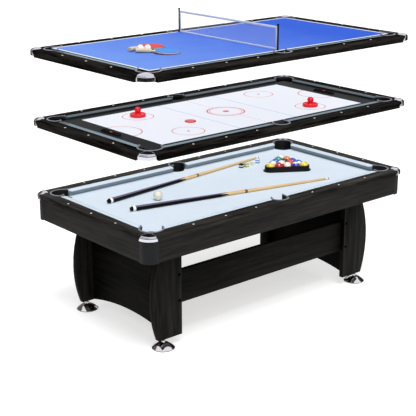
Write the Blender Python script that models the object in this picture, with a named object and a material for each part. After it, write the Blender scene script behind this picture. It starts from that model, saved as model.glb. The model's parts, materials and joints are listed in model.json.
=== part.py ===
"""Multi game table: a pool table with a hockey top and a table tennis top lifted off above it.

X runs along the table, Y across it and Z up, in metres. The origin is on the floor under the
table's middle. "Left" is -X, "right" +X, "near" -Y and "far" +Y.
"""

import math

import bmesh
import bpy
from mathutils import Matrix

for old in list(bpy.data.objects):
    bpy.data.objects.remove(old, do_unlink=True)

# Driving dimensions: the table as a whole
table_length = 2.130
table_width = 1.142
table_height = 0.773
corner_round = 0.073
hockey_lift = 0.461
tennis_lift = 0.420

# Fits shared by all pieces
gap = 0.0003
overrun = 0.020
merge_distance = 0.000003
smooth_angle = math.radians(35)

# Rails and the bed they stand on
rail_width = 0.080
rail_edge = 0.028
rail_round = 0.016
bed_drop = 0.038
bed_thick = 0.022

# Apron boards and the corner posts between them
apron_inset = 0.013
apron_thick = 0.018
apron_height = 0.131
pillar_drop = 0.004

# Chrome corner caps
cap_arm = 0.088
cap_bulge = 0.016
cap_round = 0.020
cap_edge = 0.001
cap_rise = 0.004
cap_crown_share = 0.5

# Pocket liners
pocket_setback = 0.047
pocket_radius = 0.062
side_pocket_inset = 0.082
side_pocket_radius = 0.0475
liner_wall = 0.003
lip_width = 0.0055
lip_rise = 0.003
pocket_depth = 0.070

# Cushions
cushion_width = 0.045
cushion_drop = 0.002
nose_fall = 0.004
nose_thick = 0.012
nose_undercut = 0.018
facing_clear = 0.0025
corner_facing = 0.029
side_facing = 0.008

# Hidden frame under the bed
underframe_depth = 0.058
underframe_beam = 0.050
underframe_end_beam = 0.070
underframe_end_lap = 0.025
underframe_side_lap = 0.010

# Leg boards
leg_thick = 0.030
leg_side_inset = 0.171
leg_inner_inset = 0.377
leg_bulge_inset = 0.160
leg_toe_inset = 0.203
leg_neck_inset = 0.260
leg_floor_gap = 0.055
leg_bulge_height = 0.2955

# End panels and stretchers
panel_thick = 0.030
panel_inset = 0.290
panel_arch_rise = 0.047
stretcher_thick = 0.030
stretcher_height = 0.202
stretcher_floor_gap = 0.238

# Levelling feet
foot_end_inset = 0.247
foot_radius = 0.068
foot_edge = 0.005
foot_clear = 0.009
foot_collar_radius = 0.011
foot_collar_height = 0.008
foot_doming = 1.6
stem_radius = 0.005
stem_reach = 0.040
stem_spare = 0.015

# Frames and boards of the two tops
frame_depth = 0.042
hockey_board_thick = 0.010
tennis_board_thick = 0.012
hockey_board_drop = 0.016
hockey_ledge = 0.030
tennis_board_rise = 0.003
tennis_board_lap_x = 0.013
tennis_board_lap_y = 0.020

# Hockey pieces
mallet_radius = 0.0485
mallet_height = 0.060
mallet_rim_height = 0.019
mallet_rim_width = 0.008
mallet_floor_height = 0.011
mallet_edge = 0.004
knob_radius = 0.020
knob_waist_radius = 0.0175
puck_radius = 0.034
puck_thick = 0.006
puck_edge = 0.0015
bead_length = 0.022
bead_width = 0.016
bead_height = 0.012
bead_round = 0.003
bead_end_setback = 0.065

# Table tennis pieces
post_radius = 0.005
post_height = 0.152
post_foot_radius = 0.008
post_foot_height = 0.006
post_knob_radius = 0.0065
post_knob_height = 0.010
post_edge_inset = 0.016
net_height = 0.137
net_thick = 0.003
net_hem = 0.010
net_tape = 0.014
net_bottom_tape = 0.009
net_strand = 0.002
paddle_length = 0.258
blade_length = 0.158
blade_width = 0.152
blade_thick = 0.010
handle_length = 0.094
handle_width = 0.029
handle_thick = 0.022
paddle_chamfer = 0.003
shoulder_length = 0.003
butt_width_share = 1.15
waist_width_share = 0.93

# Pool pieces
ball_radius = 0.0286
cue_length = 1.410
cue_butt_radius = 0.0145
cue_tip_radius = 0.0065
cue_bumper = 0.012
cue_bumper_radius = 0.011
rack_clear = 0.001
rack_wall = 0.006
rack_height = 0.042
rack_foot_width = 0.010
rack_foot_thick = 0.005
rack_foot_slope = 0.002

# Counts
pocket_steps = 32
round_steps = 24
small_steps = 16
corner_steps = 6
net_columns = 30
net_rows = 5

# Places on the playing surfaces, as shares of the half length and half width inside the rails
mallet_share = (0.508, 0.489)
puck_share = (-0.349, -0.143)
cue_ball_share = (-0.518, 0.081)
far_cue_middle_share = (-0.076, 0.537)
near_cue_middle_share = (-0.074, -0.366)
rack_base_share = (0.555, 0.001)
red_paddle_share = (-0.693, 0.134)
blue_paddle_share = (-0.684, 0.035)
far_cue_turn = math.radians(7.0)
near_cue_turn = math.radians(-12.0)
rack_turn = math.radians(-32.4)
red_paddle_turn = math.radians(8.0)
blue_paddle_turn = math.radians(-41.5)

# Places worked out from the sizes
half_length = table_length / 2
half_width = table_width / 2
rail_inner_x = half_length - rail_width
rail_inner_y = half_width - rail_width
bed_top = table_height - bed_drop
bed_bottom = bed_top - bed_thick
rail_bottom = table_height - rail_edge
apron_x = half_length - apron_inset
apron_y = half_width - apron_inset
apron_inner_x = apron_x - apron_thick
apron_inner_y = apron_y - apron_thick
apron_top = rail_bottom - gap
apron_bottom = rail_bottom - apron_height
pocket_x = rail_inner_x - pocket_setback
pocket_y = rail_inner_y - pocket_setback
side_pocket_y = half_width - side_pocket_inset
liner_radius = pocket_radius + liner_wall
side_liner_radius = side_pocket_radius + liner_wall
notch_reach = 2 * rail_width
underframe_top = bed_bottom - gap
underframe_bottom = underframe_top - underframe_depth
leg_top = underframe_bottom - gap
leg_outer_y = half_width - leg_side_inset
leg_inner_y = leg_outer_y - leg_thick
panel_outer_x = half_length - panel_inset
panel_inner_x = panel_outer_x - panel_thick
hockey_top = table_height + hockey_lift
hockey_surface = hockey_top - hockey_board_drop
tennis_top = hockey_top + tennis_lift
tennis_surface = tennis_top + tennis_board_rise
tennis_board_x = rail_inner_x - cushion_width + tennis_board_lap_x
tennis_board_y = rail_inner_y - cushion_width + tennis_board_lap_y

ends = {"left": -1, "right": 1}
sides = {"near": -1, "far": 1}


def finish(name, colour, roughness, metallic=0.0):
    """A plain surface of one colour."""
    material = bpy.data.materials.new(name)
    material.use_nodes = True
    shader = material.node_tree.nodes["Principled BSDF"]
    shader.inputs["Base Color"].default_value = (*colour, 1.0)
    shader.inputs["Roughness"].default_value = roughness
    shader.inputs["Metallic"].default_value = metallic
    material.diffuse_color = (*colour, 1.0)
    return material


black_wood = finish("black_wood", (0.020, 0.018, 0.016), 0.45)
rail_wood = finish("rail_wood", (0.040, 0.038, 0.036), 0.40)
pale_cloth = finish("pale_cloth", (0.62, 0.74, 0.86), 0.95)
cushion_cloth = finish("cushion_cloth", (0.38, 0.48, 0.55), 0.95)
liner_plastic = finish("liner_plastic", (0.015, 0.015, 0.017), 0.50)
post_plastic = finish("post_plastic", (0.022, 0.024, 0.027), 0.55)
chrome = finish("chrome", (0.80, 0.80, 0.82), 0.12, 1.0)
raw_board = finish("raw_board", (0.45, 0.33, 0.20), 0.80)
hockey_white = finish("hockey_white", (0.82, 0.84, 0.90), 0.25)
red_plastic = finish("red_plastic", (0.75, 0.02, 0.03), 0.25)
tennis_blue = finish("tennis_blue", (0.07, 0.16, 0.65), 0.40)
net_cord = finish("net_cord", (0.75, 0.76, 0.78), 0.85)
black_plastic = finish("black_plastic", (0.02, 0.02, 0.02), 0.45)
maple = finish("maple", (0.72, 0.52, 0.30), 0.35)
ivory_resin = finish("ivory_resin", (0.86, 0.84, 0.74), 0.12)
red_rubber = finish("red_rubber", (0.70, 0.04, 0.05), 0.60)
blue_rubber = finish("blue_rubber", (0.04, 0.32, 0.75), 0.60)


def add_object(name, shape, material, smooth=False):
    """Turn a bmesh into a named object with its faces pointing out."""
    bmesh.ops.recalc_face_normals(shape, faces=shape.faces)
    mesh = bpy.data.meshes.new(name)
    shape.to_mesh(mesh)
    shape.free()
    if smooth:
        mesh.shade_smooth()
        mesh.set_sharp_from_angle(angle=smooth_angle)
    if material:
        mesh.materials.append(material)
    thing = bpy.data.objects.new(name, mesh)
    bpy.context.collection.objects.link(thing)
    return thing


def loft(name, loops, material, all_round=False, smooth=False):
    """Join closed loops of points into one skin, with end caps unless the loops run all round."""
    shape = bmesh.new()
    rings = [[shape.verts.new(point) for point in loop] for loop in loops]
    pairs = list(zip(rings, rings[1:]))
    if all_round:
        pairs.append((rings[-1], rings[0]))
    else:
        shape.faces.new(rings[0])
        shape.faces.new(rings[-1])
    for low, high in pairs:
        for here, there in zip(range(len(low)), [*range(1, len(low)), 0]):
            shape.faces.new((low[here], low[there], high[there], high[here]))
    return add_object(name, shape, material, smooth)


def prism(name, outline, low, high, material=None):
    """A flat outline drawn up from one height to another."""
    return loft(name, [[(x, y, z) for x, y in outline] for z in (low, high)], material)


def round_outline(inset):
    """The table's outline with its round corners, drawn in by an inset."""
    middle_x = half_length - corner_round
    middle_y = half_width - corner_round
    outline = []
    for number, (x_sign, y_sign) in enumerate(((1, 1), (-1, 1), (-1, -1), (1, -1))):
        start = number * math.pi / 2
        outline += arc((x_sign * middle_x, y_sign * middle_y), corner_round - inset,
                       start, start + math.pi / 2, corner_steps)
    return outline


def box_outline(x, y):
    """A rectangle about the table's middle, from its half sizes."""
    return [(-x, -y), (x, -y), (x, y), (-x, y)]


def block(name, x, y, z, material=None):
    """A box between the two values given for each axis."""
    outline = [(x[0], y[0]), (x[1], y[0]), (x[1], y[1]), (x[0], y[1])]
    return prism(name, outline, z[0], z[1], material)


def arc(centre, radius, start, end, steps):
    """Points along a round stretch, both ends included."""
    turns = [start + (end - start) * step / steps for step in range(steps + 1)]
    return [(centre[0] + radius * math.cos(t), centre[1] + radius * math.sin(t)) for t in turns]


def lathe(name, profile, material, steps=round_steps):
    """Turn a profile of (radius, height) points about the upright axis."""
    shape = bmesh.new()
    points = [shape.verts.new((radius, 0, height)) for radius, height in profile]
    lines = [shape.edges.new(pair) for pair in zip(points, points[1:])]
    bmesh.ops.spin(shape, geom=points + lines, cent=(0, 0, 0), axis=(0, 0, 1),
                   angle=2 * math.pi, steps=steps, use_merge=True)
    bmesh.ops.remove_doubles(shape, verts=shape.verts, dist=merge_distance)
    return add_object(name, shape, material, smooth=True)


def carve(thing, *cutters):
    """Cut the shape of each cutter out of a piece."""
    for cutter in cutters:
        cutter.hide_render = True
        cutter.display_type = "WIRE"
        step = thing.modifiers.new(cutter.name, "BOOLEAN")
        step.operation = "DIFFERENCE"
        step.solver = "EXACT"
        step.object = cutter


def mirrored(outline, x_sign, y_sign):
    """An outline drawn for the far right corner, moved to another corner."""
    return [(x_sign * x, y_sign * y) for x, y in outline]


def pocket_cutters(name, low, high, open_outside=False):
    """Six cutters where the pockets are, round or with straight walls that run on to the outside."""
    places = {(end, side): (x_sign * pocket_x, y_sign * pocket_y, liner_radius)
              for end, x_sign in ends.items() for side, y_sign in sides.items()}
    for side, y_sign in sides.items():
        places["middle", side] = (0, y_sign * side_pocket_y, side_liner_radius)
    cutters = {}
    for (place, side), (x, y, radius) in places.items():
        if open_outside:
            out = math.atan2(sides[side], ends.get(place, 0))
            outline = arc((x, y), radius + gap, out + math.pi / 2, out + 3 * math.pi / 2,
                          pocket_steps // 2)
            outline += [(outline[last][0] + notch_reach * math.cos(out),
                         outline[last][1] + notch_reach * math.sin(out)) for last in (-1, 0)]
        else:
            outline = arc((x, y), radius + gap, 0, 2 * math.pi, pocket_steps)[:-1]
        cutters[place, side] = prism(f"{name}_{place}_{side}", outline, low, high)
    return cutters


def cap_circle():
    """Centre and radius of the round inner edge of a corner cap, for the far right corner."""
    chord = cap_arm / math.sqrt(2)
    radius = (chord ** 2 + cap_bulge ** 2) / (2 * cap_bulge)
    inward = (chord + cap_bulge - radius) / math.sqrt(2)
    return (half_length - inward, half_width - inward), radius


def cap_outline(inset):
    """Outline of a corner cap with its outer edges drawn in, for the far right corner."""
    centre, radius = cap_circle()
    reach_x = math.acos((half_length - inset - centre[0]) / radius)
    reach_y = math.asin((half_width - inset - centre[1]) / radius)
    inner = arc(centre, radius, -reach_x, -math.pi - reach_y, 2 * corner_steps)
    middle = (half_length - corner_round, half_width - corner_round)
    outer = arc(middle, corner_round - inset, math.pi / 2, 0, corner_steps)
    return inner + outer


def cap_seat_outline():
    """Everything outside the inner edge of a corner cap, for cutting the rails back to it."""
    centre, radius = cap_circle()
    inner = [point for point in arc(centre, radius + gap, -math.pi, -math.pi / 2, 4 * corner_steps)]
    return inner + [(centre[0], centre[1])]


def rounded_edge(width, height):
    """Insets and heights, both from the top outer corner, along a quarter round edge."""
    turns = [math.pi / 2 * step / corner_steps for step in range(corner_steps + 1)]
    return [(width * (1 - math.cos(t)), -height * (1 - math.sin(t))) for t in turns]


def rail_section(outer, inner, step):
    """Section of a rail: (distance from the middle, height), stepped to lie over the apron."""
    edge = [(outer - inset, table_height + fall) for inset, fall in rounded_edge(rail_round, rail_round)]
    return ([(inner, table_height), (inner, bed_top + gap), (step - gap, bed_top + gap),
             (step - gap, rail_bottom), (outer, rail_bottom)] + edge)


def make_bed():
    """One slab under cloth, notched from its edges for the pocket liners."""
    bed = prism("playfield_bed", round_outline(apron_inset + apron_thick + gap),
                bed_bottom, bed_top, pale_cloth)
    notches = pocket_cutters("cut_bed", bed_bottom - overrun, bed_top + overrun, open_outside=True)
    carve(bed, *notches.values())


def make_rails(pockets):
    """Two long rails between two end rails, cut for the pockets and for the corner caps."""
    seats = {}
    for end, x_sign in ends.items():
        for side, y_sign in sides.items():
            outline = mirrored(cap_seat_outline(), x_sign, y_sign)
            seats[end, side] = prism(f"cut_cap_seat_{side}_{end}", outline,
                                     rail_bottom - overrun, table_height + overrun)
    reach = rail_inner_x - gap
    for side, y_sign in sides.items():
        section = rail_section(half_width, rail_inner_y, apron_inner_y)
        rail = loft(f"rail_{side}", [[(x, y_sign * y, z) for y, z in section] for x in (-reach, reach)],
                    rail_wood)
        carve(rail, *(pockets[place, side] for place in ("left", "right", "middle")),
              *(seats[end, side] for end in ends))
    steps = [block(f"cut_rail_step_{side}", (-half_length, half_length),
                   sorted((y_sign * (apron_inner_y - gap), y_sign * (half_width + overrun))),
                   (rail_bottom - overrun, rail_bottom)) for side, y_sign in sides.items()]
    for end, x_sign in ends.items():
        section = rail_section(half_length, rail_inner_x, apron_inner_x)
        rail = loft(f"rail_{end}",
                    [[(x_sign * x, y, z) for x, z in section] for y in (-half_width, half_width)],
                    rail_wood)
        carve(rail, *(pockets[end, side] for side in sides), *(seats[end, side] for side in sides),
              *steps)


def make_corner_caps():
    """Domed chrome caps that close the outer corners of the rails."""
    for end, x_sign in ends.items():
        for side, y_sign in sides.items():
            layers = [(0.0, rail_bottom)]
            layers += [(inset, table_height + cap_edge + fall)
                       for inset, fall in rounded_edge(cap_round, cap_round)]
            loops = [[(x, y, z) for x, y in mirrored(cap_outline(inset), x_sign, y_sign)]
                     for inset, z in layers]
            top = loops[-1]
            middle = [sum(point[axis] for point in top) / len(top) for axis in (0, 1)]
            loops.append([(middle[0] + (x - middle[0]) * cap_crown_share,
                           middle[1] + (y - middle[1]) * cap_crown_share,
                           table_height + cap_rise) for x, y, z in top])
            loft(f"corner_cap_{side}_{end}", loops, chrome, smooth=True)


def cushion_section():
    """Section of a cushion: (distance out from the rail, height)."""
    top = table_height - cushion_drop
    return [(gap, bed_top + gap), (gap, top), (cushion_width - nose_fall, top),
            (cushion_width, top - nose_fall), (cushion_width, top - nose_thick),
            (cushion_width - nose_undercut, bed_top + gap)]


def facing(depth, back, run):
    """Where a cushion's slanted end lies at a depth out from the rail."""
    return back - run * depth / cushion_width


def make_cushions():
    """Six rubber cushions under the cloth, with slanted ends that open the pockets."""
    reach = liner_radius + gap
    corner_back_x = pocket_x - math.sqrt(reach ** 2 - pocket_setback ** 2) - facing_clear
    corner_back_y = pocket_y - math.sqrt(reach ** 2 - pocket_setback ** 2) - facing_clear
    side_back = side_liner_radius + gap + facing_clear
    for side, y_sign in sides.items():
        for end, x_sign in ends.items():
            ends_of_run = []
            for back, run in ((side_back, -side_facing), (corner_back_x, corner_facing)):
                ends_of_run.append([(x_sign * facing(depth, back, run),
                                     y_sign * (rail_inner_y - depth), z)
                                    for depth, z in cushion_section()])
            loft(f"cushion_{side}_{end}", ends_of_run, cushion_cloth)
    for end, x_sign in ends.items():
        ends_of_run = [[(x_sign * (rail_inner_x - depth),
                         y_sign * facing(depth, corner_back_y, corner_facing), z)
                        for depth, z in cushion_section()] for y_sign in (-1, 1)]
        loft(f"cushion_{end}", ends_of_run, cushion_cloth)


def make_liner(name, x, y, radius, turn):
    """A black cup that catches the ball, open towards the bed above the cloth."""
    outer = radius + liner_wall
    bottom = bed_top - pocket_depth - liner_wall
    lip = table_height + gap
    profile = [(0, bottom), (outer, bottom), (outer, lip), (outer + lip_width, lip),
               (outer + lip_width, lip + lip_rise), (radius, lip + lip_rise),
               (radius, bottom + liner_wall), (0, bottom + liner_wall)]
    liner = lathe(name, profile, liner_plastic, steps=pocket_steps)
    mouth = block(f"cut_mouth_{name}", (0, outer + overrun), (-outer - overrun, outer + overrun),
                  (bed_top - gap, table_height + overrun))
    for thing in (liner, mouth):
        thing.location = (x, y, 0)
        thing.rotation_euler = (0, 0, turn)
    carve(liner, mouth)


def make_liners():
    for side, y_sign in sides.items():
        for end, x_sign in ends.items():
            make_liner(f"pocket_{side}_{end}", x_sign * pocket_x, y_sign * pocket_y, pocket_radius,
                       math.atan2(-y_sign, -x_sign))
        make_liner(f"pocket_{side}_middle", 0, y_sign * side_pocket_y, side_pocket_radius,
                   math.atan2(-y_sign, 0))


def make_aprons():
    """Four apron boards and the black plastic quarter posts that join them."""
    reach_x = half_length - corner_round - gap
    reach_y = half_width - corner_round - gap
    for side, y_sign in sides.items():
        across = sorted((y_sign * apron_inner_y, y_sign * apron_y))
        block(f"apron_{side}", (-reach_x, reach_x), across, (apron_bottom, apron_top), black_wood)
    for end, x_sign in ends.items():
        along = sorted((x_sign * apron_inner_x, x_sign * apron_x))
        block(f"apron_{end}", along, (-reach_y, reach_y), (apron_bottom, apron_top), black_wood)
    middle = (half_length - corner_round, half_width - corner_round)
    outer_radius = corner_round - apron_inset
    outline = (arc(middle, outer_radius, 0, math.pi / 2, 2 * corner_steps)
               + arc(middle, outer_radius - apron_thick, math.pi / 2, 0, 2 * corner_steps))
    for end, x_sign in ends.items():
        for side, y_sign in sides.items():
            prism(f"corner_pillar_{side}_{end}", mirrored(outline, x_sign, y_sign),
                  apron_bottom - pillar_drop, apron_top, post_plastic)


def make_underframe():
    """Ladder of beams that stands on the leg boards and end panels and carries the bed."""
    outer_x = panel_outer_x + underframe_end_lap
    outer_y = leg_outer_y + underframe_side_lap
    frame = prism("underframe", box_outline(outer_x, outer_y), underframe_bottom, underframe_top, raw_board)
    for end, x_sign in ends.items():
        along = sorted((x_sign * underframe_end_beam / 2, x_sign * (outer_x - underframe_end_beam)))
        window = block(f"cut_bay_{end}", along,
                       (underframe_beam - outer_y, outer_y - underframe_beam),
                       (underframe_bottom - overrun, underframe_top + overrun))
        carve(frame, window)


def leg_outline():
    """Leg board seen from the side, for the right end: straight inside, bowed outside."""
    inner_x = half_length - leg_inner_inset
    bulge_x = half_length - leg_bulge_inset
    bow = []
    for end_height, end_inset in ((leg_floor_gap, leg_toe_inset), (leg_top, leg_neck_inset)):
        rise = end_height - leg_bulge_height
        depth = end_inset - leg_bulge_inset
        radius = (rise ** 2 + depth ** 2) / (2 * depth)
        turn = math.asin(rise / radius)
        middle = (bulge_x - radius, leg_bulge_height)
        bow = bow[:-1] + arc(middle, radius, min(turn, 0), max(turn, 0), corner_steps)
    return [(inner_x, leg_floor_gap)] + bow + [(inner_x, leg_top)]


def make_legs():
    """Four upright leg boards with bored holes for the feet."""
    foot_x = half_length - foot_end_inset
    foot_y = leg_outer_y - leg_thick / 2
    hole = arc((foot_x, foot_y), stem_radius + gap, 0, 2 * math.pi, small_steps)[:-1]
    for end, x_sign in ends.items():
        for side, y_sign in sides.items():
            leg = loft(f"leg_board_{side}_{end}",
                       [[(x_sign * x, y_sign * y, z) for x, z in leg_outline()]
                        for y in (leg_inner_y, leg_outer_y)], black_wood)
            bore = prism(f"cut_bore_{side}_{end}", mirrored(hole, x_sign, y_sign),
                         leg_floor_gap - overrun, leg_floor_gap + stem_reach + stem_spare)
            carve(leg, bore)


def make_panels():
    """Arched panels that join the leg boards at each end, and a stretcher along each side."""
    reach = leg_inner_y - gap
    radius = (reach ** 2 + panel_arch_rise ** 2) / (2 * panel_arch_rise)
    swing = math.asin(reach / radius)
    arch = arc((0, leg_floor_gap + panel_arch_rise - radius), radius,
               math.pi / 2 + swing, math.pi / 2 - swing, 3 * corner_steps)
    outline = arch + [(reach, leg_top), (-reach, leg_top)]
    for end, x_sign in ends.items():
        loft(f"end_panel_{end}", [[(x_sign * x, y, z) for y, z in outline]
                                  for x in (panel_inner_x, panel_outer_x)], black_wood)
    for side, y_sign in sides.items():
        across = sorted((y_sign * reach, y_sign * (reach - stretcher_thick)))
        block(f"stretcher_{side}", (gap - panel_inner_x, panel_inner_x - gap), across,
              (stretcher_floor_gap, stretcher_floor_gap + stretcher_height), black_wood)


def make_feet():
    """Domed chrome levelling feet on threaded stems."""
    collar_top = leg_floor_gap - foot_clear
    collar_bottom = collar_top - foot_collar_height
    dome = [(foot_collar_radius + (foot_radius - foot_collar_radius) * out,
             foot_edge + (collar_bottom - foot_edge) * (1 - out ** foot_doming))
            for out in (1 - step / corner_steps for step in range(corner_steps + 1))]
    profile = ([(0, 0), (foot_radius, 0)] + dome
               + [(foot_collar_radius, collar_top), (stem_radius, collar_top),
                  (stem_radius, leg_floor_gap + stem_reach), (0, leg_floor_gap + stem_reach)])
    for end, x_sign in ends.items():
        for side, y_sign in sides.items():
            foot = lathe(f"levelling_foot_{side}_{end}", profile, chrome)
            foot.location = (x_sign * (half_length - foot_end_inset),
                             y_sign * (leg_outer_y - leg_thick / 2), 0)


def make_frame(name, top):
    """Rails of a lifted top, in one ring with its cushions; the windows are cut afterwards."""
    layers = [(0.0, top - frame_depth)]
    layers += [(inset, top + fall) for inset, fall in rounded_edge(rail_round, rail_round)]
    return loft(name, [[(x, y, z) for x, y in round_outline(inset)] for inset, z in layers],
                rail_wood)


def window(name, x, y, low, high):
    """A rectangular cutter about the table's middle, from its half sizes."""
    return prism(name, box_outline(x, y), low, high)


def make_hockey_top():
    """The hockey frame, and the board that lies on its ledge under the cushions."""
    board_bottom = hockey_surface - hockey_board_thick
    board_middle = hockey_surface - hockey_board_thick / 2
    above = hockey_top + overrun
    frame = make_frame("hockey_frame", hockey_top)
    carve(frame,
          window("cut_hockey_recess", rail_inner_x, rail_inner_y, hockey_top - cushion_drop, above),
          window("cut_hockey_play", rail_inner_x - cushion_width, rail_inner_y - cushion_width,
                 board_middle, above),
          window("cut_hockey_slot", rail_inner_x, rail_inner_y, board_bottom - gap, hockey_surface + gap),
          window("cut_hockey_ledge", rail_inner_x - hockey_ledge, rail_inner_y - hockey_ledge,
                 hockey_top - frame_depth - overrun, board_middle))
    carve(frame, *pocket_cutters("cut_hockey_pocket", board_middle, above).values())
    prism("hockey_board", box_outline(rail_inner_x - gap, rail_inner_y - gap),
          board_bottom, hockey_surface, hockey_white)


def make_hockey_pieces():
    """Two mallets, the puck, and the sliding beads that keep the score."""
    play_x = rail_inner_x
    play_y = rail_inner_y
    knob_top = [(knob_radius * math.cos(t), mallet_height - knob_radius * (1 - math.sin(t)))
                for t in (math.pi / 2 * step / corner_steps for step in range(corner_steps))]
    profile = ([(0, 0), (mallet_radius - mallet_edge, 0), (mallet_radius, mallet_edge),
                (mallet_radius, mallet_rim_height - mallet_edge),
                (mallet_radius - mallet_edge, mallet_rim_height),
                (mallet_radius - mallet_rim_width, mallet_rim_height),
                (mallet_radius - 2 * mallet_rim_width, mallet_floor_height),
                (knob_radius + mallet_edge, mallet_floor_height),
                (knob_waist_radius, mallet_floor_height + mallet_edge)]
               + knob_top + [(0, mallet_height)])
    for end, x_sign in ends.items():
        mallet = lathe(f"mallet_{end}", profile, red_plastic)
        mallet.location = (x_sign * mallet_share[0] * play_x, -x_sign * mallet_share[1] * play_y,
                           hockey_surface + gap)
        x = x_sign * (play_x - cushion_width - bead_end_setback)
        bead = block(f"score_bead_{end}", (x - bead_width / 2, x + bead_width / 2),
                     (-bead_length / 2, bead_length / 2),
                     (hockey_surface + gap, hockey_surface + gap + bead_height), red_plastic)
        softened = bead.modifiers.new("rounded", "BEVEL")
        softened.width = bead_round
        softened.segments = 2
    disc = [(0, 0), (puck_radius - puck_edge, 0), (puck_radius, puck_edge),
            (puck_radius, puck_thick - puck_edge), (puck_radius - puck_edge, puck_thick),
            (0, puck_thick)]
    puck = lathe("puck", disc, red_plastic)
    puck.location = (puck_share[0] * play_x, puck_share[1] * play_y, hockey_surface + gap)


def make_tennis_top():
    """The tennis frame, and the blue board that lies on its cushions."""
    board_bottom = tennis_surface - tennis_board_thick
    above = tennis_top + overrun
    below = tennis_top - frame_depth - overrun
    frame = make_frame("tennis_frame", tennis_top)
    carve(frame,
          window("cut_tennis_recess", rail_inner_x, rail_inner_y, board_bottom - gap, above),
          window("cut_tennis_play", rail_inner_x - cushion_width, rail_inner_y - cushion_width,
                 below, above))
    carve(frame, *pocket_cutters("cut_tennis_pocket", below, above).values())
    prism("tennis_board", box_outline(tennis_board_x, tennis_board_y), board_bottom, tennis_surface,
          tennis_blue)


def make_net():
    """A flat net with taped edges between two posts that stand on the board."""
    post_y = tennis_board_y - post_edge_inset
    foot = tennis_surface + gap
    knob = post_height - post_knob_height
    profile = [(0, 0), (post_foot_radius, 0), (post_foot_radius, post_foot_height),
               (post_radius, post_foot_height), (post_radius, knob), (post_knob_radius, knob),
               (post_knob_radius, post_height), (0, post_height)]
    for side, y_sign in sides.items():
        post = lathe(f"net_post_{side}", profile, black_plastic, steps=small_steps)
        post.location = (0, y_sign * post_y, foot)
    reach = post_y - post_foot_radius - gap
    columns = grid_lines(-reach, reach, net_hem, net_hem, net_columns)
    rows = grid_lines(foot, foot + net_height, net_bottom_tape, net_tape, net_rows)
    shape = bmesh.new()
    points = [[shape.verts.new((-net_thick / 2, y, z)) for z in rows] for y in columns]
    cells = []
    for column in range(len(columns) - 1):
        for row in range(len(rows) - 1):
            if column % 2 and row % 2:
                continue
            cells.append(shape.faces.new((points[column][row], points[column + 1][row],
                                          points[column + 1][row + 1], points[column][row + 1])))
    grown = bmesh.ops.extrude_face_region(shape, geom=cells)["geom"]
    moved = [piece for piece in grown if isinstance(piece, bmesh.types.BMVert)]
    bmesh.ops.translate(shape, verts=moved, vec=(net_thick, 0, 0))
    add_object("net", shape, net_cord)


def grid_lines(start, end, first, last, count):
    """Edges of a border, evenly spaced gaps with strands between them, and a border."""
    pitch = (end - start - first - last + net_strand) / count
    lines = [start]
    for number in range(count):
        left = start + first + number * pitch
        lines += [left, left + pitch - net_strand]
    return lines + [end]


def paddle_section(at, width, thick, centre):
    """Eight-sided section of a paddle, with its corners taken off."""
    half, depth = width / 2, thick / 2
    cut = min(paddle_chamfer, depth / 2)
    return [(at, y, centre + z) for y, z in (
        (half, depth - cut), (half - cut, depth), (cut - half, depth), (-half, depth - cut),
        (-half, cut - depth), (cut - half, -depth), (half - cut, -depth), (half, cut - depth))]


def make_paddle(name, share, turn, material):
    """A bat that lies on the front of its handle and on the far edge of its blade."""
    slope = (handle_thick - blade_thick) / 2 / (paddle_length - handle_length)
    rest = handle_thick / 2 + slope * handle_length
    blade_middle = paddle_length - blade_length / 2
    grip = [(0.0, handle_width * butt_width_share), (handle_length / 2, handle_width * waist_width_share),
            (handle_length, handle_width * waist_width_share)]
    loops = [paddle_section(at, width, handle_thick, rest - slope * at) for at, width in grip]
    steps = 2 * corner_steps
    for step in range(1, steps):
        t = math.pi * step / steps
        at = max(blade_middle - blade_length / 2 * math.cos(t), handle_length + shoulder_length)
        width = blade_width * math.sin(t)
        loops.append(paddle_section(at, width, blade_thick, rest - slope * at))
    paddle = loft(name, loops, material)
    paddle.location = (share[0] * rail_inner_x, share[1] * rail_inner_y, tennis_surface + gap)
    paddle.rotation_euler = (0, 0, turn)


def make_cue(name, share, turn):
    """A tapered cue that lies along the cloth, its butt to the left."""
    taper = (cue_butt_radius - cue_tip_radius) / cue_length
    profile = [(0, -cue_bumper), (cue_bumper_radius, -cue_bumper), (cue_bumper_radius, 0),
               (cue_butt_radius, 0), (cue_tip_radius, cue_length - cue_bumper),
               (0, cue_length - cue_bumper)]
    cue = lathe(name, profile, maple, steps=small_steps)
    lean = math.atan(taper)
    lying = Matrix.Rotation(turn, 4, "Z") @ Matrix.Rotation(math.pi / 2 + lean, 4, "Y")
    place = Matrix.Translation((share[0] * rail_inner_x, share[1] * rail_inner_y,
                                bed_top + gap + (cue_butt_radius + cue_tip_radius) / 2))
    cue.matrix_world = place @ lying @ Matrix.Translation((0, 0, -cue_length / 2))


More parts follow.
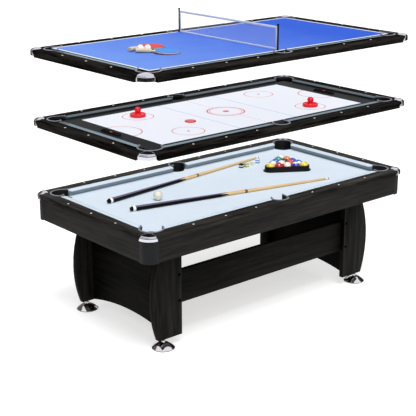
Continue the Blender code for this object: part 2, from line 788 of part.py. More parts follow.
def make_balls_and_rack():
    """The cue ball, and the triangle whose long side faces the near side of the table."""
    shape = bmesh.new()
    bmesh.ops.create_uvsphere(shape, u_segments=small_steps, v_segments=small_steps * 3 // 4,
                              radius=ball_radius)
    ball = add_object("cue_ball", shape, ivory_resin, smooth=True)
    ball.location = (cue_ball_share[0] * rail_inner_x, cue_ball_share[1] * rail_inner_y,
                     bed_top + gap + ball_radius)
    balls_per_side = 5
    spread = 2 * ball_radius * (balls_per_side - 1)
    corners = [(-spread / 2, 0), (spread / 2, 0), (0, spread * math.sqrt(3) / 2)]
    inner = ball_radius + rack_clear
    outer = inner + rack_wall
    section = [(inner, 0), (outer + rack_foot_width, 0), (outer + rack_foot_width, rack_foot_thick),
               (outer, rack_foot_thick + rack_foot_slope), (outer, rack_height), (inner, rack_height)]
    loops = []
    for offset, z in section:
        loop = []
        for corner, start in zip(corners, (5, 9, 1)):
            turn = math.pi * start / 6
            loop += arc(corner, offset, turn, turn + 2 * math.pi / 3, corner_steps)
        loops.append([(x, y, z) for x, y in loop])
    rack = loft("ball_rack", loops, black_plastic, all_round=True)
    rack.location = (rack_base_share[0] * rail_inner_x, rack_base_share[1] * rail_inner_y,
                     bed_top + gap)
    rack.rotation_euler = (0, 0, rack_turn)


make_bed()
make_rails(pocket_cutters("cut_rail", bed_top - overrun, table_height + overrun))
make_corner_caps()
make_cushions()
make_liners()
make_aprons()
make_underframe()
make_legs()
make_panels()
make_feet()
make_hockey_top()
make_hockey_pieces()
make_tennis_top()
make_net()
make_paddle("paddle_red", red_paddle_share, red_paddle_turn, red_rubber)
make_paddle("paddle_blue", blue_paddle_share, blue_paddle_turn, blue_rubber)
make_cue("cue_far", far_cue_middle_share, far_cue_turn)
make_cue("cue_near", near_cue_middle_share, near_cue_turn)
make_balls_and_rack()
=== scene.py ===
import json
import math

import bmesh
import bpy
from mathutils import Matrix, Vector

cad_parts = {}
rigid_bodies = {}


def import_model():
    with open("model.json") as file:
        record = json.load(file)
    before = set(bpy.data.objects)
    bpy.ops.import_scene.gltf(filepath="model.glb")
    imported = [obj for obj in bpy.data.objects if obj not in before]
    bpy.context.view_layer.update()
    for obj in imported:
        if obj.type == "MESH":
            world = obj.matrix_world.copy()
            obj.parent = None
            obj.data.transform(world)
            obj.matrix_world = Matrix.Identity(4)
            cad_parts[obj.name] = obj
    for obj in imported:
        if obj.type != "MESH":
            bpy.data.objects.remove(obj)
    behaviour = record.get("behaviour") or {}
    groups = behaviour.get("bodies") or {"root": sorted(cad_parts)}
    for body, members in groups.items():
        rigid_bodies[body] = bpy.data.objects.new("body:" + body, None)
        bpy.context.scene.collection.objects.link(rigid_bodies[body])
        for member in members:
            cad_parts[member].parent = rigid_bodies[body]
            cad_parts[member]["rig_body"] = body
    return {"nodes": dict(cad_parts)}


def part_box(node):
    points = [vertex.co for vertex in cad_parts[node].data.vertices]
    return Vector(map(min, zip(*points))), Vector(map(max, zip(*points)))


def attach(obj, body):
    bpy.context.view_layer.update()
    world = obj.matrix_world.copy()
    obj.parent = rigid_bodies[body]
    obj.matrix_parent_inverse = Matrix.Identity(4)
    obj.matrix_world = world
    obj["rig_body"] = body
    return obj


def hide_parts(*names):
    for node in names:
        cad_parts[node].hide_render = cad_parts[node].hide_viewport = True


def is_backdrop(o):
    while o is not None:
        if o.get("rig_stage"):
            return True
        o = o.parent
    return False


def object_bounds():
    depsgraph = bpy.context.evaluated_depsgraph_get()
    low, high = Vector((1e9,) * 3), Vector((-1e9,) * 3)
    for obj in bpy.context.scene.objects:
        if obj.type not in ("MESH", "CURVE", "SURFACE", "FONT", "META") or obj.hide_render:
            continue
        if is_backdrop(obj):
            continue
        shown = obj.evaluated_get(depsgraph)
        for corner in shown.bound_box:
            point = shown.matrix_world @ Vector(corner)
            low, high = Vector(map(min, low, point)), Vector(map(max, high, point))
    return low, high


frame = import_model()
cad_low, cad_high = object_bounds()
scene = bpy.context.scene


# The view: a long lens on the near left of the table, at the photograph's angle.
# It has no shift, so every other view of the table is a true one as well.
camera = bpy.data.objects.new("camera", bpy.data.cameras.new("camera"))
scene.collection.objects.link(camera)
camera.location = (-4.47, -5.04, 2.756)
camera.rotation_euler = (math.radians(72.156), 0, math.radians(-40.632))
camera.data.sensor_width = 36.0
camera.data.lens = 96.1
scene.camera = camera
scene.view_settings.view_transform = "Standard"


# The room: a white sweep whose floor keeps the table's shadow, under a pale sky. Dark
# screens that only mirrors can see stand round it, so that the chrome has its dark streaks.
def maths(operation, turned_round=False):
    """An operator on readings that adds one Math node."""
    def work(self, *other):
        terms = (*other, self) if turned_round else (self, *other)
        return self.recipe.node("ShaderNodeMath", {"operation": operation}, dict(enumerate(terms)))
    return work


class Reading:
    """A number that changes over a surface. Sums on it add Math nodes."""

    def __init__(self, recipe, socket):
        self.recipe = recipe
        self.socket = socket

    __add__, __radd__ = maths("ADD"), maths("ADD", True)
    __sub__, __rsub__ = maths("SUBTRACT"), maths("SUBTRACT", True)
    __mul__, __rmul__ = maths("MULTIPLY"), maths("MULTIPLY", True)
    __truediv__, __abs__ = maths("DIVIDE"), maths("ABSOLUTE")
    root, wave, most = maths("SQRT"), maths("SINE"), maths("MAXIMUM")

    def above(self, edge, blur=0.0004):
        """1 where the number is above an edge and 0 where it is below."""
        return self.recipe.node("ShaderNodeMapRange", {"interpolation_type": "SMOOTHSTEP"},
                                {"Value": self, "From Min": edge - blur / 2,
                                 "From Max": edge + blur / 2})

    def band(self, middle, half, blur=0.0006):
        """1 in a band about a middle value."""
        return 1 - abs(self - middle).above(half, blur)


class Recipe:
    """The nodes of one material or of the room, each made by the same method."""

    def __init__(self, tree):
        self.tree = tree

    def feed(self, socket, value):
        if isinstance(value, Reading):
            self.tree.links.new(value.socket, socket)
        elif socket.type == "RGBA":
            socket.default_value = (*(tint(value) if isinstance(value, str) else value), 1.0)
        else:
            socket.default_value = value

    def node(self, kind, settings=(), sockets=(), out=0):
        made = self.tree.nodes.new(kind)
        for name, value in dict(settings).items():
            setattr(made, name, value)
        for name, value in dict(sockets).items():
            self.feed(made.inputs[name], value)
        return Reading(self, made.outputs[out])

    def mix(self, share, first, second):
        return self.node("ShaderNodeMix", {"data_type": "RGBA"}, {0: share, 6: first, 7: second}, 2)

    def where(self, stretch=(1, 1, 1)):
        """The place on the piece in metres, scaled along each axis."""
        place = self.node("ShaderNodeTexCoord", out="Object")
        return self.node("ShaderNodeVectorMath", {"operation": "MULTIPLY"}, {0: place, 1: stretch})

    def own(self, stretch=(1, 1, 1)):
        """The place in a turned piece's own axes, which its mesh carries."""
        place = self.node("ShaderNodeAttribute", {"attribute_name": "local"}, out="Vector")
        return self.node("ShaderNodeVectorMath", {"operation": "MULTIPLY"}, {0: place, 1: stretch})

    def axes(self, place=None):
        """The three numbers of a place, or of the place on the piece."""
        split = self.node("ShaderNodeSeparateXYZ", {}, {0: place or self.where()}).socket.node
        return [Reading(self, socket) for socket in split.outputs]

    def noise(self, place, detail=3.0, rough=0.55):
        """Soft noise read at a place, or over the piece at one fineness."""
        if not isinstance(place, Reading):
            place = self.where((place,) * 3)
        return self.node("ShaderNodeTexNoise", {}, {"Vector": place, "Scale": 1.0,
                                                    "Detail": detail, "Roughness": rough})

    def seen(self):
        """1 for the camera and for mirrors and glass, 0 for light that falls on the table."""
        rays = self.node("ShaderNodeLightPath").socket.node.outputs
        rays = [Reading(self, rays["Is " + kind + " Ray"])
                for kind in ("Camera", "Glossy", "Transmission")]
        return rays[0].most(rays[1]).most(rays[2])


class Finish(Recipe):
    """One finish of the table: a material, and what feeds its shader."""

    def __init__(self, name, sockets):
        self.material = bpy.data.materials.new(name)
        self.material.use_nodes = True
        super().__init__(self.material.node_tree)
        self.shader = self.tree.nodes["Principled BSDF"]
        self.set(sockets)

    def set(self, sockets):
        for name, value in sockets.items():
            self.feed(self.shader.inputs[name], value)

    def bump(self, height, strength, distance=0.0004):
        self.set({"Normal": self.node("ShaderNodeBump", {}, {
            "Strength": strength, "Distance": distance, "Height": height})})


def tint(code):
    """A colour written as it looks on a screen."""
    parts = [int(code[at:at + 2], 16) / 255 for at in (1, 3, 5)]
    return tuple(part / 12.92 if part < 0.04 else ((part + 0.055) / 1.055) ** 2.4
                 for part in parts)


ambient = 0.13
sky = bpy.data.worlds.new("white_room")
sky.use_nodes = True
scene.world = sky
room = Recipe(sky.node_tree)
room.feed(sky.node_tree.nodes["Background"].inputs["Color"],
          room.mix(room.seen(), (ambient, ambient, ambient * 1.02), (1, 1, 1)))


def add(name, mesh):
    """Put a mesh into the scene under its name."""
    thing = bpy.data.objects.new(name, mesh)
    scene.collection.objects.link(thing)
    return thing


square = ((-1, -1), (1, -1), (1, 1), (-1, 1))
floor_reach, floor_drop = 40.0, 0.0004
floor_mesh = bpy.data.meshes.new("floor")
floor_mesh.from_pydata([(sx * floor_reach, sy * floor_reach, -floor_drop) for sx, sy in square],
                       [], [(0, 1, 2, 3)])
pale_floor = Finish("pale_floor", {"Base Color": (0.64, 0.64, 0.64), "Roughness": 0.9,
                                   "Specular IOR Level": 0.0, "Emission Strength": 1.0})
pale_floor.set({"Emission Color": pale_floor.mix(pale_floor.seen(), (0, 0, 0),
                                                 (0.625, 0.625, 0.625))})
floor_mesh.materials.append(pale_floor.material)
floor = add("floor", floor_mesh)
floor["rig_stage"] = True


def arc(centre, radius, start, end, steps):
    """Points along a round stretch, both ends included."""
    turns = [start + (end - start) * step / steps for step in range(steps + 1)]
    return [(centre[0] + radius * math.cos(t), centre[1] + radius * math.sin(t)) for t in turns]


def skin(loops, all_round=False):
    """Join closed loops of points into one skin, with ends unless the loops run all round."""
    shape = bmesh.new()
    rows = [[shape.verts.new(point) for point in loop] for loop in loops]
    pairs = list(zip(rows, rows[1:]))
    if all_round:
        pairs.append((rows[-1], rows[0]))
    else:
        shape.faces.new(rows[0])
        shape.faces.new(rows[-1])
    for low, high in pairs:
        for here, there in zip(range(len(low)), [*range(1, len(low)), 0]):
            shape.faces.new((low[here], low[there], high[there], high[here]))
    return shape


def piece(name, shape, finish, sharp=30):
    """Turn a shape into a piece of the table, rounded to the eye up to a sharp angle."""
    bmesh.ops.recalc_face_normals(shape, faces=shape.faces)
    mesh = bpy.data.meshes.new(name)
    shape.to_mesh(mesh)
    shape.free()
    mesh.shade_smooth()
    mesh.set_sharp_from_angle(angle=math.radians(sharp))
    mesh.materials.append(finish.material)
    return add(name, mesh)


def column(outline, low, high):
    """The upright skin that stands on an outline."""
    return skin([[(x, y, z) for x, y in outline] for z in (low, high)])


# Each screen: distance from the table's middle, from and to which bearing, foot, top, colour.
for name, away, (start, stop), low, high, colour in (
        ("front_screen", 7.0, (150, 300), 0.20, 2.40, (0.015, 0.015, 0.018)),
        ("back_screen", 7.0, (-48, 131), 0.20, 2.40, (0.015, 0.015, 0.018)),
        ("left_screen", 3.2, (86, 144), 0.0, 2.9, (0.20, 0.155, 0.13)),
        ("right_screen", 3.2, (-26, 10), 0.0, 2.9, (0.020, 0.020, 0.024)),
        ("high_screen", 6.0, (150, 222), 4.2, 6.6, (0.16, 0.16, 0.20))):
    inner, outer = (arc((0, 0), away + out, math.radians(start), math.radians(stop), 24)
                    for out in (0, 0.05))
    screen = piece(name, column(inner + outer[::-1], low, high),
                   Finish(name, {"Base Color": colour, "Roughness": 1.0}))
    for ray in ("camera", "diffuse", "transmission", "volume_scatter", "shadow"):
        setattr(screen, "visible_" + ray, False)
    screen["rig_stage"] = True


# The legs: four bowed boards of chipboard under dark woodgrain foil, with black banded
# edges, screwed to an arched panel at each end and to a stretcher along each side. The
# panels and stretchers have their inner faces painted near black as painted shade, and
# the end panels' foil is darker than the legs' foil, painted shade as well.
def laminate(name, along, dark, light, shine=0.14, edge=None):
    """Dark woodgrain foil, its figure and pores drawn out along the grain."""
    finish = Finish(name, {"Specular IOR Level": shine})
    figure = finish.noise(finish.where([2.2 if axis == along else 36 for axis in "xyz"]), 5, 0.68)
    pores = finish.noise(finish.where([14 if axis == along else 430 for axis in "xyz"]), 2)
    tone = (figure - 0.5) * 3.4 + (pores - 0.5) * 1.3 + 0.42
    colour = finish.mix(tone, dark, light)
    if edge:
        colour = finish.mix(edge(finish), colour, "#030303")
    finish.set({"Base Color": colour, "Roughness": 0.46 + pores * 0.24})
    finish.bump(pores, 0.22)
    return finish


def join(shape, other):
    """Add another shape's faces to a shape."""
    bmesh.ops.recalc_face_normals(other, faces=other.faces)
    spare = bpy.data.meshes.new("spare")
    other.to_mesh(spare)
    other.free()
    shape.from_mesh(spare)
    bpy.data.meshes.remove(spare)


def settle(thing):
    """Turn a piece with its modifiers into one plain mesh."""
    bpy.context.view_layer.update()
    graph = bpy.context.evaluated_depsgraph_get()
    mesh = bpy.data.meshes.new_from_object(thing.evaluated_get(graph))
    thing.modifiers.clear()
    thing.data = mesh
    return thing


def ease(thing, width, segments=2, sharp=40):
    """Round the sharp edges of a piece a little."""
    step = thing.modifiers.new("eased", "BEVEL")
    step.width = width
    step.segments = segments
    step.limit_method = "ANGLE"
    step.angle_limit = math.radians(sharp)
    step.harden_normals = False
    settle(thing)
    thing.data.shade_smooth()
    thing.data.set_sharp_from_angle(angle=math.radians(sharp))
    return thing


def mount(thing, body, slot, *nodes):
    """Fix a finished piece to its body, and let it stand for the CAD nodes named."""
    if nodes:
        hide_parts(*nodes)
    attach(thing, body)
    return thing


def dress(node, finish):
    """Give a CAD piece its finish."""
    for slot in frame["nodes"][node].material_slots:
        slot.material = finish.material


def fair_copy(node, name, finish, slot, width=0.0008):
    """A copy of a CAD piece with its points joined and its edges eased, to stand for it."""
    shape = bmesh.new()
    shape.from_mesh(frame["nodes"][node].data)
    bmesh.ops.remove_doubles(shape, verts=shape.verts, dist=0.00001)
    bmesh.ops.dissolve_limit(shape, angle_limit=math.radians(0.5), verts=shape.verts,
                             edges=shape.edges)
    thing = ease(piece(name, shape, finish), width)
    return mount(thing, frame["nodes"][node]["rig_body"], slot, node)


leg_face, leg_half_thick = 0.385, 0.0143
leg_foil = laminate("leg_foil", "z", "#050505", "#282623", 0.07, edge=lambda finish: (
    1 - abs(abs(finish.axes()[1]) - leg_face).above(leg_half_thick)))
# The inner faces of the end panels and stretchers are painted near black: painted shade.
panel_shade_face = -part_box("end_panel_left")[1].x + 0.0006
stretcher_shade_face = -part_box("stretcher_near")[1].y + 0.0006
# The end panels' foil is a darker copy of the legs' foil: painted shade.
shaded_panel_foil = laminate("end_panel_shaded_foil", "y", "#020202", "#191715", 0.03, edge=lambda finish: (
    1 - abs(finish.axes()[0]).above(panel_shade_face)))
board_foil_x = laminate("stretcher_foil", "x", "#040403", "#1f1d1b", 0.06, edge=lambda finish: (
    1 - abs(finish.axes()[1]).above(stretcher_shade_face)))
ends = {"left": -1, "right": 1}
sides = {"near": -1, "far": 1}
corners = {(side, end): (x_sign, y_sign)
           for side, y_sign in sides.items() for end, x_sign in ends.items()}
for side, end in corners:
    fair_copy(f"leg_board_{side}_{end}", f"{side}_{end}_leg", leg_foil, "black_wood")
for side in sides:
    fair_copy(f"stretcher_{side}", f"{side}_stretcher", board_foil_x, "black_wood")
for end in ends:
    fair_copy(f"end_panel_{end}", f"{end}_end_panel", shaded_panel_foil, "black_wood")


# The bolts: two black socket heads through each leg board into the stretcher behind it,
# one mesh for the fixed table, set in place by Geometry Nodes.
def turned(profile, steps):
    """Turn a profile of (radius, height) points about the upright axis."""
    shape = bmesh.new()
    points = [shape.verts.new((radius, 0, height)) for radius, height in profile]
    lines = [shape.edges.new(pair) for pair in zip(points, points[1:])]
    bmesh.ops.spin(shape, geom=points + lines, cent=(0, 0, 0), axis=(0, 0, 1),
                   angle=math.tau, steps=steps, use_merge=True)
    bmesh.ops.remove_doubles(shape, verts=shape.verts, dist=0.000003)
    return shape


def node_tree(name, result, **inputs):
    """An empty Geometry Nodes tree with named inputs, and the sockets that give them."""
    tree = bpy.data.node_groups.new(name, "GeometryNodeTree")
    for label, kind in inputs.items():
        tree.interface.new_socket(label, in_out="INPUT", socket_type="NodeSocket" + kind)
    tree.interface.new_socket(result, in_out="OUTPUT", socket_type="NodeSocketGeometry")
    return tree, tree.nodes.new("NodeGroupInput").outputs


def link_up(tree, kind, settings=(), sockets=(), out=0):
    """Add a Geometry Node, set it, and link or fill its sockets."""
    made = tree.nodes.new(kind)
    for name, value in dict(settings).items():
        setattr(made, name, value)
    for name, value in dict(sockets).items():
        if isinstance(value, bpy.types.NodeSocket):
            tree.links.new(value, made.inputs[name])
        else:
            made.inputs[name].default_value = value
    return made.outputs[out] if len(made.outputs) else made


def grow(thing, tree, values):
    """Run a tree on a piece with its inputs set, and keep the result as a plain mesh."""
    step = thing.modifiers.new(tree.name, "NODES")
    step.node_group = tree
    for label, value in values.items():
        step[tree.interface.items_tree[label].identifier] = value
    return settle(thing)


place_tree, given = node_tree("set_on_places", "Pieces", Places="Geometry", Piece="Object",
                              Size="Float", Finish="Material")
turn = link_up(place_tree, "GeometryNodeInputNamedAttribute", {"data_type": "FLOAT_VECTOR"},
               {"Name": "turn"})
turn = link_up(place_tree, "FunctionNodeEulerToRotation", (), {0: turn})
head = link_up(place_tree, "GeometryNodeObjectInfo", {"transform_space": "ORIGINAL"},
               {"Object": given["Piece"], "As Instance": True}, "Geometry")
many = link_up(place_tree, "GeometryNodeInstanceOnPoints", (),
               {"Points": given["Places"], "Instance": head, "Rotation": turn,
                "Scale": link_up(place_tree, "ShaderNodeCombineXYZ", (),
                                 {0: given["Size"], 1: given["Size"], 2: given["Size"]})})
many = link_up(place_tree, "GeometryNodeRealizeInstances", (), {0: many})
many = link_up(place_tree, "GeometryNodeSetMaterial", (), {"Geometry": many,
                                                           "Material": given["Finish"]})
link_up(place_tree, "NodeGroupOutput", (), {0: many})


def repeat(name, head_shape, places, finish, size=1.0):
    """Set one small piece at each (point, turn), and make the result one plain mesh."""
    single = piece(name + "_one", head_shape, finish)
    mesh = bpy.data.meshes.new(name)
    mesh.from_pydata([point for point, turn in places], [], [])
    mesh.attributes.new("turn", "FLOAT_VECTOR", "POINT").data.foreach_set(
        "vector", [part for point, turn in places for part in turn])
    thing = grow(add(name, mesh), place_tree,
                 {"Piece": single, "Size": size, "Finish": finish.material})
    bpy.data.objects.remove(single)
    return thing


def grained(name, tones, grain, gloss, relief=0, **sockets):
    """A finish that wanders between two tones with a grain of one fineness and detail. The
    same grain adds a spread to its least roughness, and may stand up as relief."""
    finish = Finish(name, {words.replace("_", " "): value for words, value in sockets.items()})
    fineness, *detail = grain
    grain = finish.noise(fineness, *detail)
    least, spread = gloss
    finish.set({"Base Color": finish.mix(grain, *tones),
                "Roughness": least + grain * spread if spread else least})
    if relief:
        finish.bump(grain, relief)
    return finish


black_steel = grained("black_steel", ("#050506", "#050506"), (900, 3), (0.30, 0.2),
                      Specular_IOR_Level=0)
bolt_head = [(0, 0.0004), (0.0034, 0.0004), (0.0037, 0.0022), (0.0060, 0.0026), (0.0082, 0.0018),
             (0.0092, 0.0004), (0.0092, -0.0010), (0, -0.0010)]
bolt_x, bolt_y, bolt_heights = 0.705, 0.400, (0.430, 0.270)
bolt_places = [((x_sign * bolt_x, y_sign * bolt_y, z), (-y_sign * math.pi / 2, 0, 0))
               for x_sign, y_sign in corners.values() for z in bolt_heights]
mount(repeat("leg_bolts", turned(bolt_head, 20), bolt_places, black_steel), "table",
      "black_plastic")


# The feet: spun chromed domes that screw up into the legs on threaded stems, so that
# the table can be levelled on an uneven floor. A black rubber pad is glued under each.
def chrome_finish(name, tone="#dcdce2"):
    finish = Finish(name, {"Base Color": tone, "Metallic": 1.0})
    smears = finish.noise(38, 4)
    finish.set({"Roughness": 0.05 + smears * 0.09})
    finish.bump(finish.noise(16, 1), 0.10, 0.004)
    return finish


def stand(thing, node):
    """Move a piece made about the upright axis to where a CAD piece stands."""
    low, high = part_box(node)
    thing.data.transform(Matrix.Translation(((low.x + high.x) / 2, (low.y + high.y) / 2, low.z)))
    return thing


chrome = chrome_finish("chrome")
foot_low, foot_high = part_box("levelling_foot_near_left")
foot_radius, foot_edge, foot_doming = (foot_high.x - foot_low.x) / 2, 0.0045, 1.6
collar_radius, collar_low, collar_top = 0.011, 0.038, 0.046
dome = [(collar_radius + (foot_radius - collar_radius) * out,
         foot_edge + (collar_low - foot_edge) * (1 - out ** foot_doming))
        for out in (1 - step / 24 for step in range(25))]
stem_radius, thread_depth, thread_pitch, stem_top = 0.0049, 0.0007, 0.0018, 0.0948
thread = []
for step in range(int((stem_top - collar_top) / thread_pitch)):
    low = collar_top + step * thread_pitch
    thread += [(stem_radius - thread_depth, low), (stem_radius, low + thread_pitch / 2)]
pad_thick = 0.0030
pad_profile = [(0, 0), (foot_radius - 0.0006, 0), (foot_radius, 0.0006),
               (foot_radius, pad_thick - 0.0002), (0, pad_thick - 0.0002)]
foot_profile = [(0, pad_thick), (foot_radius - 0.001, pad_thick),
                (foot_radius - 0.0002, pad_thick + 0.0004)]
foot_profile += dome + [(collar_radius, collar_top - 0.001), (collar_radius - 0.001, collar_top)]
foot_profile += thread + [(0, stem_top)]
for side, end in corners:
    node, body = f"levelling_foot_{side}_{end}", f"foot_{side}_{end}"
    foot = stand(piece(f"{side}_{end}_foot", turned(foot_profile, 56), chrome), node)
    mount(foot, body, "chrome", node)
    pad = stand(piece(f"{side}_{end}_foot_pad", turned(pad_profile, 56), black_steel), node)
    mount(pad, body, "black_plastic")


# The underframe: a hidden ladder of raw chipboard beams that stands on the legs and
# carries the bed. It shows only from underneath.
raw_board = grained("raw_board", ("#6f5536", "#c2a170"), (240, 4, 0.7), (0.80, 0), 0.4)
dress("underframe", raw_board)


# The aprons: four foil-wrapped boards round the bed, their grain running level, and the
# black moulded posts that join them at the corners.
def mirrored(outline, x_sign, y_sign):
    return [(x_sign * x, y_sign * y) for x, y in outline]


apron_foil_x = laminate("side_apron_foil", "x", "#060505", "#2a2724")
apron_foil_y = laminate("end_apron_foil", "y", "#060505", "#2b2825")
post_plastic = grained("post_plastic", ("#0c0d0e", "#17181a"), (700, 2), (0.40, 0.16), 0.12,
                       Specular_IOR_Level=0.20)
apron_x, apron_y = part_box("apron_right")[1].x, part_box("apron_far")[1].y
gap, apron_thick = 0.0003, 0.018
post_radius, flange, proud, post_lip = 0.060, 0.015, 0.0009, 0.0004
centre = (apron_x - post_radius, apron_y - post_radius)
skirt = [(centre[0] - flange, apron_y + gap), (centre[0] - flange, apron_y + proud - post_lip),
         (centre[0] - flange + post_lip, apron_y + proud)]
skirt += arc(centre, post_radius + proud, math.pi / 2, 0, 20)
skirt += [(apron_x + proud, centre[1] - flange + post_lip),
          (apron_x + proud - post_lip, centre[1] - flange), (apron_x + gap, centre[1] - flange)]
skirt += arc(centre, post_radius + gap, 0, math.pi / 2, 20)
core = arc(centre, post_radius, 0, math.pi / 2, 20)
core += [(centre[0] + gap, apron_y - apron_thick), (apron_x - apron_thick, centre[1] + gap)]
for (side, end), signs in corners.items():
    node = f"corner_pillar_{side}_{end}"
    low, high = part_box(node)
    post = column(mirrored(skirt, *signs), low.z, high.z)
    join(post, column(mirrored(core, *signs), low.z, high.z))
    mount(piece(f"{side}_{end}_post", post, post_plastic), "table", "post_plastic", node)
for side in sides:
    dress(f"apron_{side}", apron_foil_x)
for end in ends:
    dress(f"apron_{end}", apron_foil_y)


# The bed: one flat board with a napped pale blue cloth stretched over its top, stapled
# underneath. The raw board shows on its edges and its underside.
def cloth(name, shade, deep, light):
    """Napped cloth: a fine woven nap, a cloudy tone, and a soft sheen at grazing light."""
    finish = Finish(name, {"Roughness": 0.95, "Specular IOR Level": 0.20, "Sheen Weight": 0.04,
                           "Sheen Roughness": 0.6})
    nap = finish.noise(1500, 3, 0.65)
    cloud = finish.noise(9, 4)
    colour = finish.mix(nap * 0.6 + cloud * 0.4, deep, light)
    finish.set({"Base Color": finish.mix(0.35, colour, shade)})
    finish.bump(nap, 0.30, 0.0003)
    return finish, colour


bed_top, cloth_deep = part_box("playfield_bed")[1].z, 0.0015
bed_cloth, bed_blue = cloth("bed_cloth", "#d8e4f0", "#cedceb", "#e1ecf6")
bed_height = bed_cloth.axes()[2]
bed_cloth.set({"Base Color": bed_cloth.mix(bed_height.above(bed_top - cloth_deep), "#8d7350",
                                           bed_blue)})
dress("playfield_bed", bed_cloth)


# The rails: on each of the three levels four boards under dark foil, rounded along their
# outer edge, mitred, and cut out for the pockets and for the chrome caps at the corners.
half_length, half_width = cad_high.x, cad_high.y
rail_width, corner_round = 0.080, 0.073
rail_x, rail_y = half_length - rail_width, half_width - rail_width
pocket_radius, side_radius, liner_wall = 0.062, 0.0475, 0.003
pocket_inset, side_inset = 0.047, 0.082
pocket_x, pocket_y = rail_x - pocket_inset, rail_y - pocket_inset
side_pocket_y = half_width - side_inset
levels = {"pool": ("table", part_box("rail_near")[1].z),
          "hockey": ("hockey_top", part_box("hockey_frame")[1].z),
          "tennis": ("tennis_top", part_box("tennis_frame")[1].z)}
rail_foil = {axis: laminate(f"rail_foil_{axis}", axis, "#0b0a0a", "#3c3935", 0.06)
             for axis in "xy"}
lifted_foil = {axis: laminate(f"lifted_foil_{axis}", axis, "#090808", "#322f2c", 0.0)
               for axis in "xy"}
pool_depth, lifted_depth, step_pool, step_lifted = 0.028, 0.042, 0.0487, 0.040
cap_arm, cap_taper, cap_reach, cap_side = 0.088, 0.032, 0.095, 0.028
# Each pocket: its place, its radius and the bearing of its mouth.
pockets = {(end, side): (x_sign * pocket_x, y_sign * pocket_y, pocket_radius,
                         math.atan2(-y_sign, -x_sign))
           for (side, end), (x_sign, y_sign) in corners.items()}
pockets.update({("middle", side): (0, y_sign * side_pocket_y, side_radius,
                                   math.atan2(-y_sign, 0)) for side, y_sign in sides.items()})


def cap_edge(rise):
    """Centre and radius of a cap's inner edge: its arms taper as they rise to the rail's top."""
    arm = cap_arm - cap_taper * min(max(1 + rise / cap_side, 0), 1)
    chord = arm / math.sqrt(2)
    bulge = cap_reach - chord
    radius = (chord ** 2 + bulge ** 2) / (2 * bulge)
    inward = (cap_reach - radius) / math.sqrt(2)
    return (half_length - inward, half_width - inward), radius


def rail_section(top, seat, step, bottom):
    """Section of a rail: (distance out from its inner edge, height)."""
    rounding, inner_round = 0.016, 0.0015
    edge = [(rail_width - rounding * (1 - math.cos(t)), top - rounding * (1 - math.sin(t)))
            for t in (math.pi / 2 * turn / 12 for turn in range(13))]
    return ([(inner_round, top), (0.0004, top - 0.0004), (0, top - inner_round), (0, seat),
             (step, seat), (step, bottom), (rail_width, bottom)] + edge)


def prism(name, outline, low, high, finish):
    return piece(name, column(outline, low, high), finish)


def cut(thing, cutters):
    """Cut the shapes of other pieces out of one."""
    for cutter in cutters:
        step = thing.modifiers.new("cut", "BOOLEAN")
        step.solver = "EXACT"
        step.object = cutter
    settle(thing)
    thing.data.shade_smooth()
    thing.data.set_sharp_from_angle(angle=math.radians(30))


def node_of(level, node):
    """The CAD node that a piece of a level stands for: each lifted frame is one ring."""
    return node if level == "pool" else f"{level}_frame"


def pocket_cutters(wider, low, high):
    """Round shapes that cut out the six pockets, wider than their mouths."""
    return {key: prism("cutter", arc((x, y), radius + wider, 0, math.tau, 64)[:-1],
                       low - cut_reach, high + cut_reach, black_steel)
            for key, (x, y, radius, turn) in pockets.items()}


cut_reach = 0.05
for level, (body, top) in levels.items():
    pool = level == "pool"
    bottom = top - (pool_depth if pool else lifted_depth)
    section = rail_section(top, bed_top + gap if pool else bottom,
                           step_pool if pool else step_lifted, bottom)
    foil = rail_foil if pool else lifted_foil
    cutters = pocket_cutters(liner_wall + gap, bottom, top)
    rises = [-cap_side * (1 - share) for share in (0, 0.25, 0.5, 0.75, 1)]
    for (side, end), signs in corners.items():
        loops = []
        for rise, z in ((-cap_side, bottom - cut_reach), *((rise, top + rise) for rise in rises),
                        (0, top + cut_reach)):
            centre, radius = cap_edge(rise)
            outline = arc(centre, radius + gap, math.radians(-251), math.radians(-19), 56)
            outline += [(half_length + 2 * cut_reach, outline[-1][1]),
                        (half_length + 2 * cut_reach, half_width + 2 * cut_reach),
                        (outline[0][0], half_width + 2 * cut_reach)]
            loops.append([(x, y, z) for x, y in mirrored(outline, *signs)])
        cutters["cap", end, side] = piece("cutter", skin(loops), black_steel)
    rails = {side: ("x", [[(x_sign * (rail_x + out - gap), y_sign * (rail_y + out), z)
                           for out, z in section] for x_sign in ends.values()])
             for side, y_sign in sides.items()}
    rails.update({end: ("y", [[(x_sign * (rail_x + out), y_sign * (rail_y + out), z)
                               for out, z in section] for y_sign in sides.values()])
                  for end, x_sign in ends.items()})
    for place, (grain, loops) in rails.items():
        rail = piece(f"{level}_{place}_rail", skin(loops), foil[grain])
        cut(rail, [cutter for key, cutter in cutters.items() if place in key])
        mount(rail, body, "rail_wood", node_of(level, f"rail_{place}"))
    for cutter in cutters.values():
        bpy.data.objects.remove(cutter)


# The sights: small pearl-white discs let into the rail tops, three in each end rail and
# six in each side rail, pressed in by Geometry Nodes as one mesh for each level.
def crown(radius, rise, foot, steps):
    """Profile of a low dome, from its rim up to its middle."""
    return [(radius * math.cos(t), foot + rise * math.sin(t))
            for t in (math.pi / 2 * step / steps for step in range(steps))] + [(0, foot + rise)]


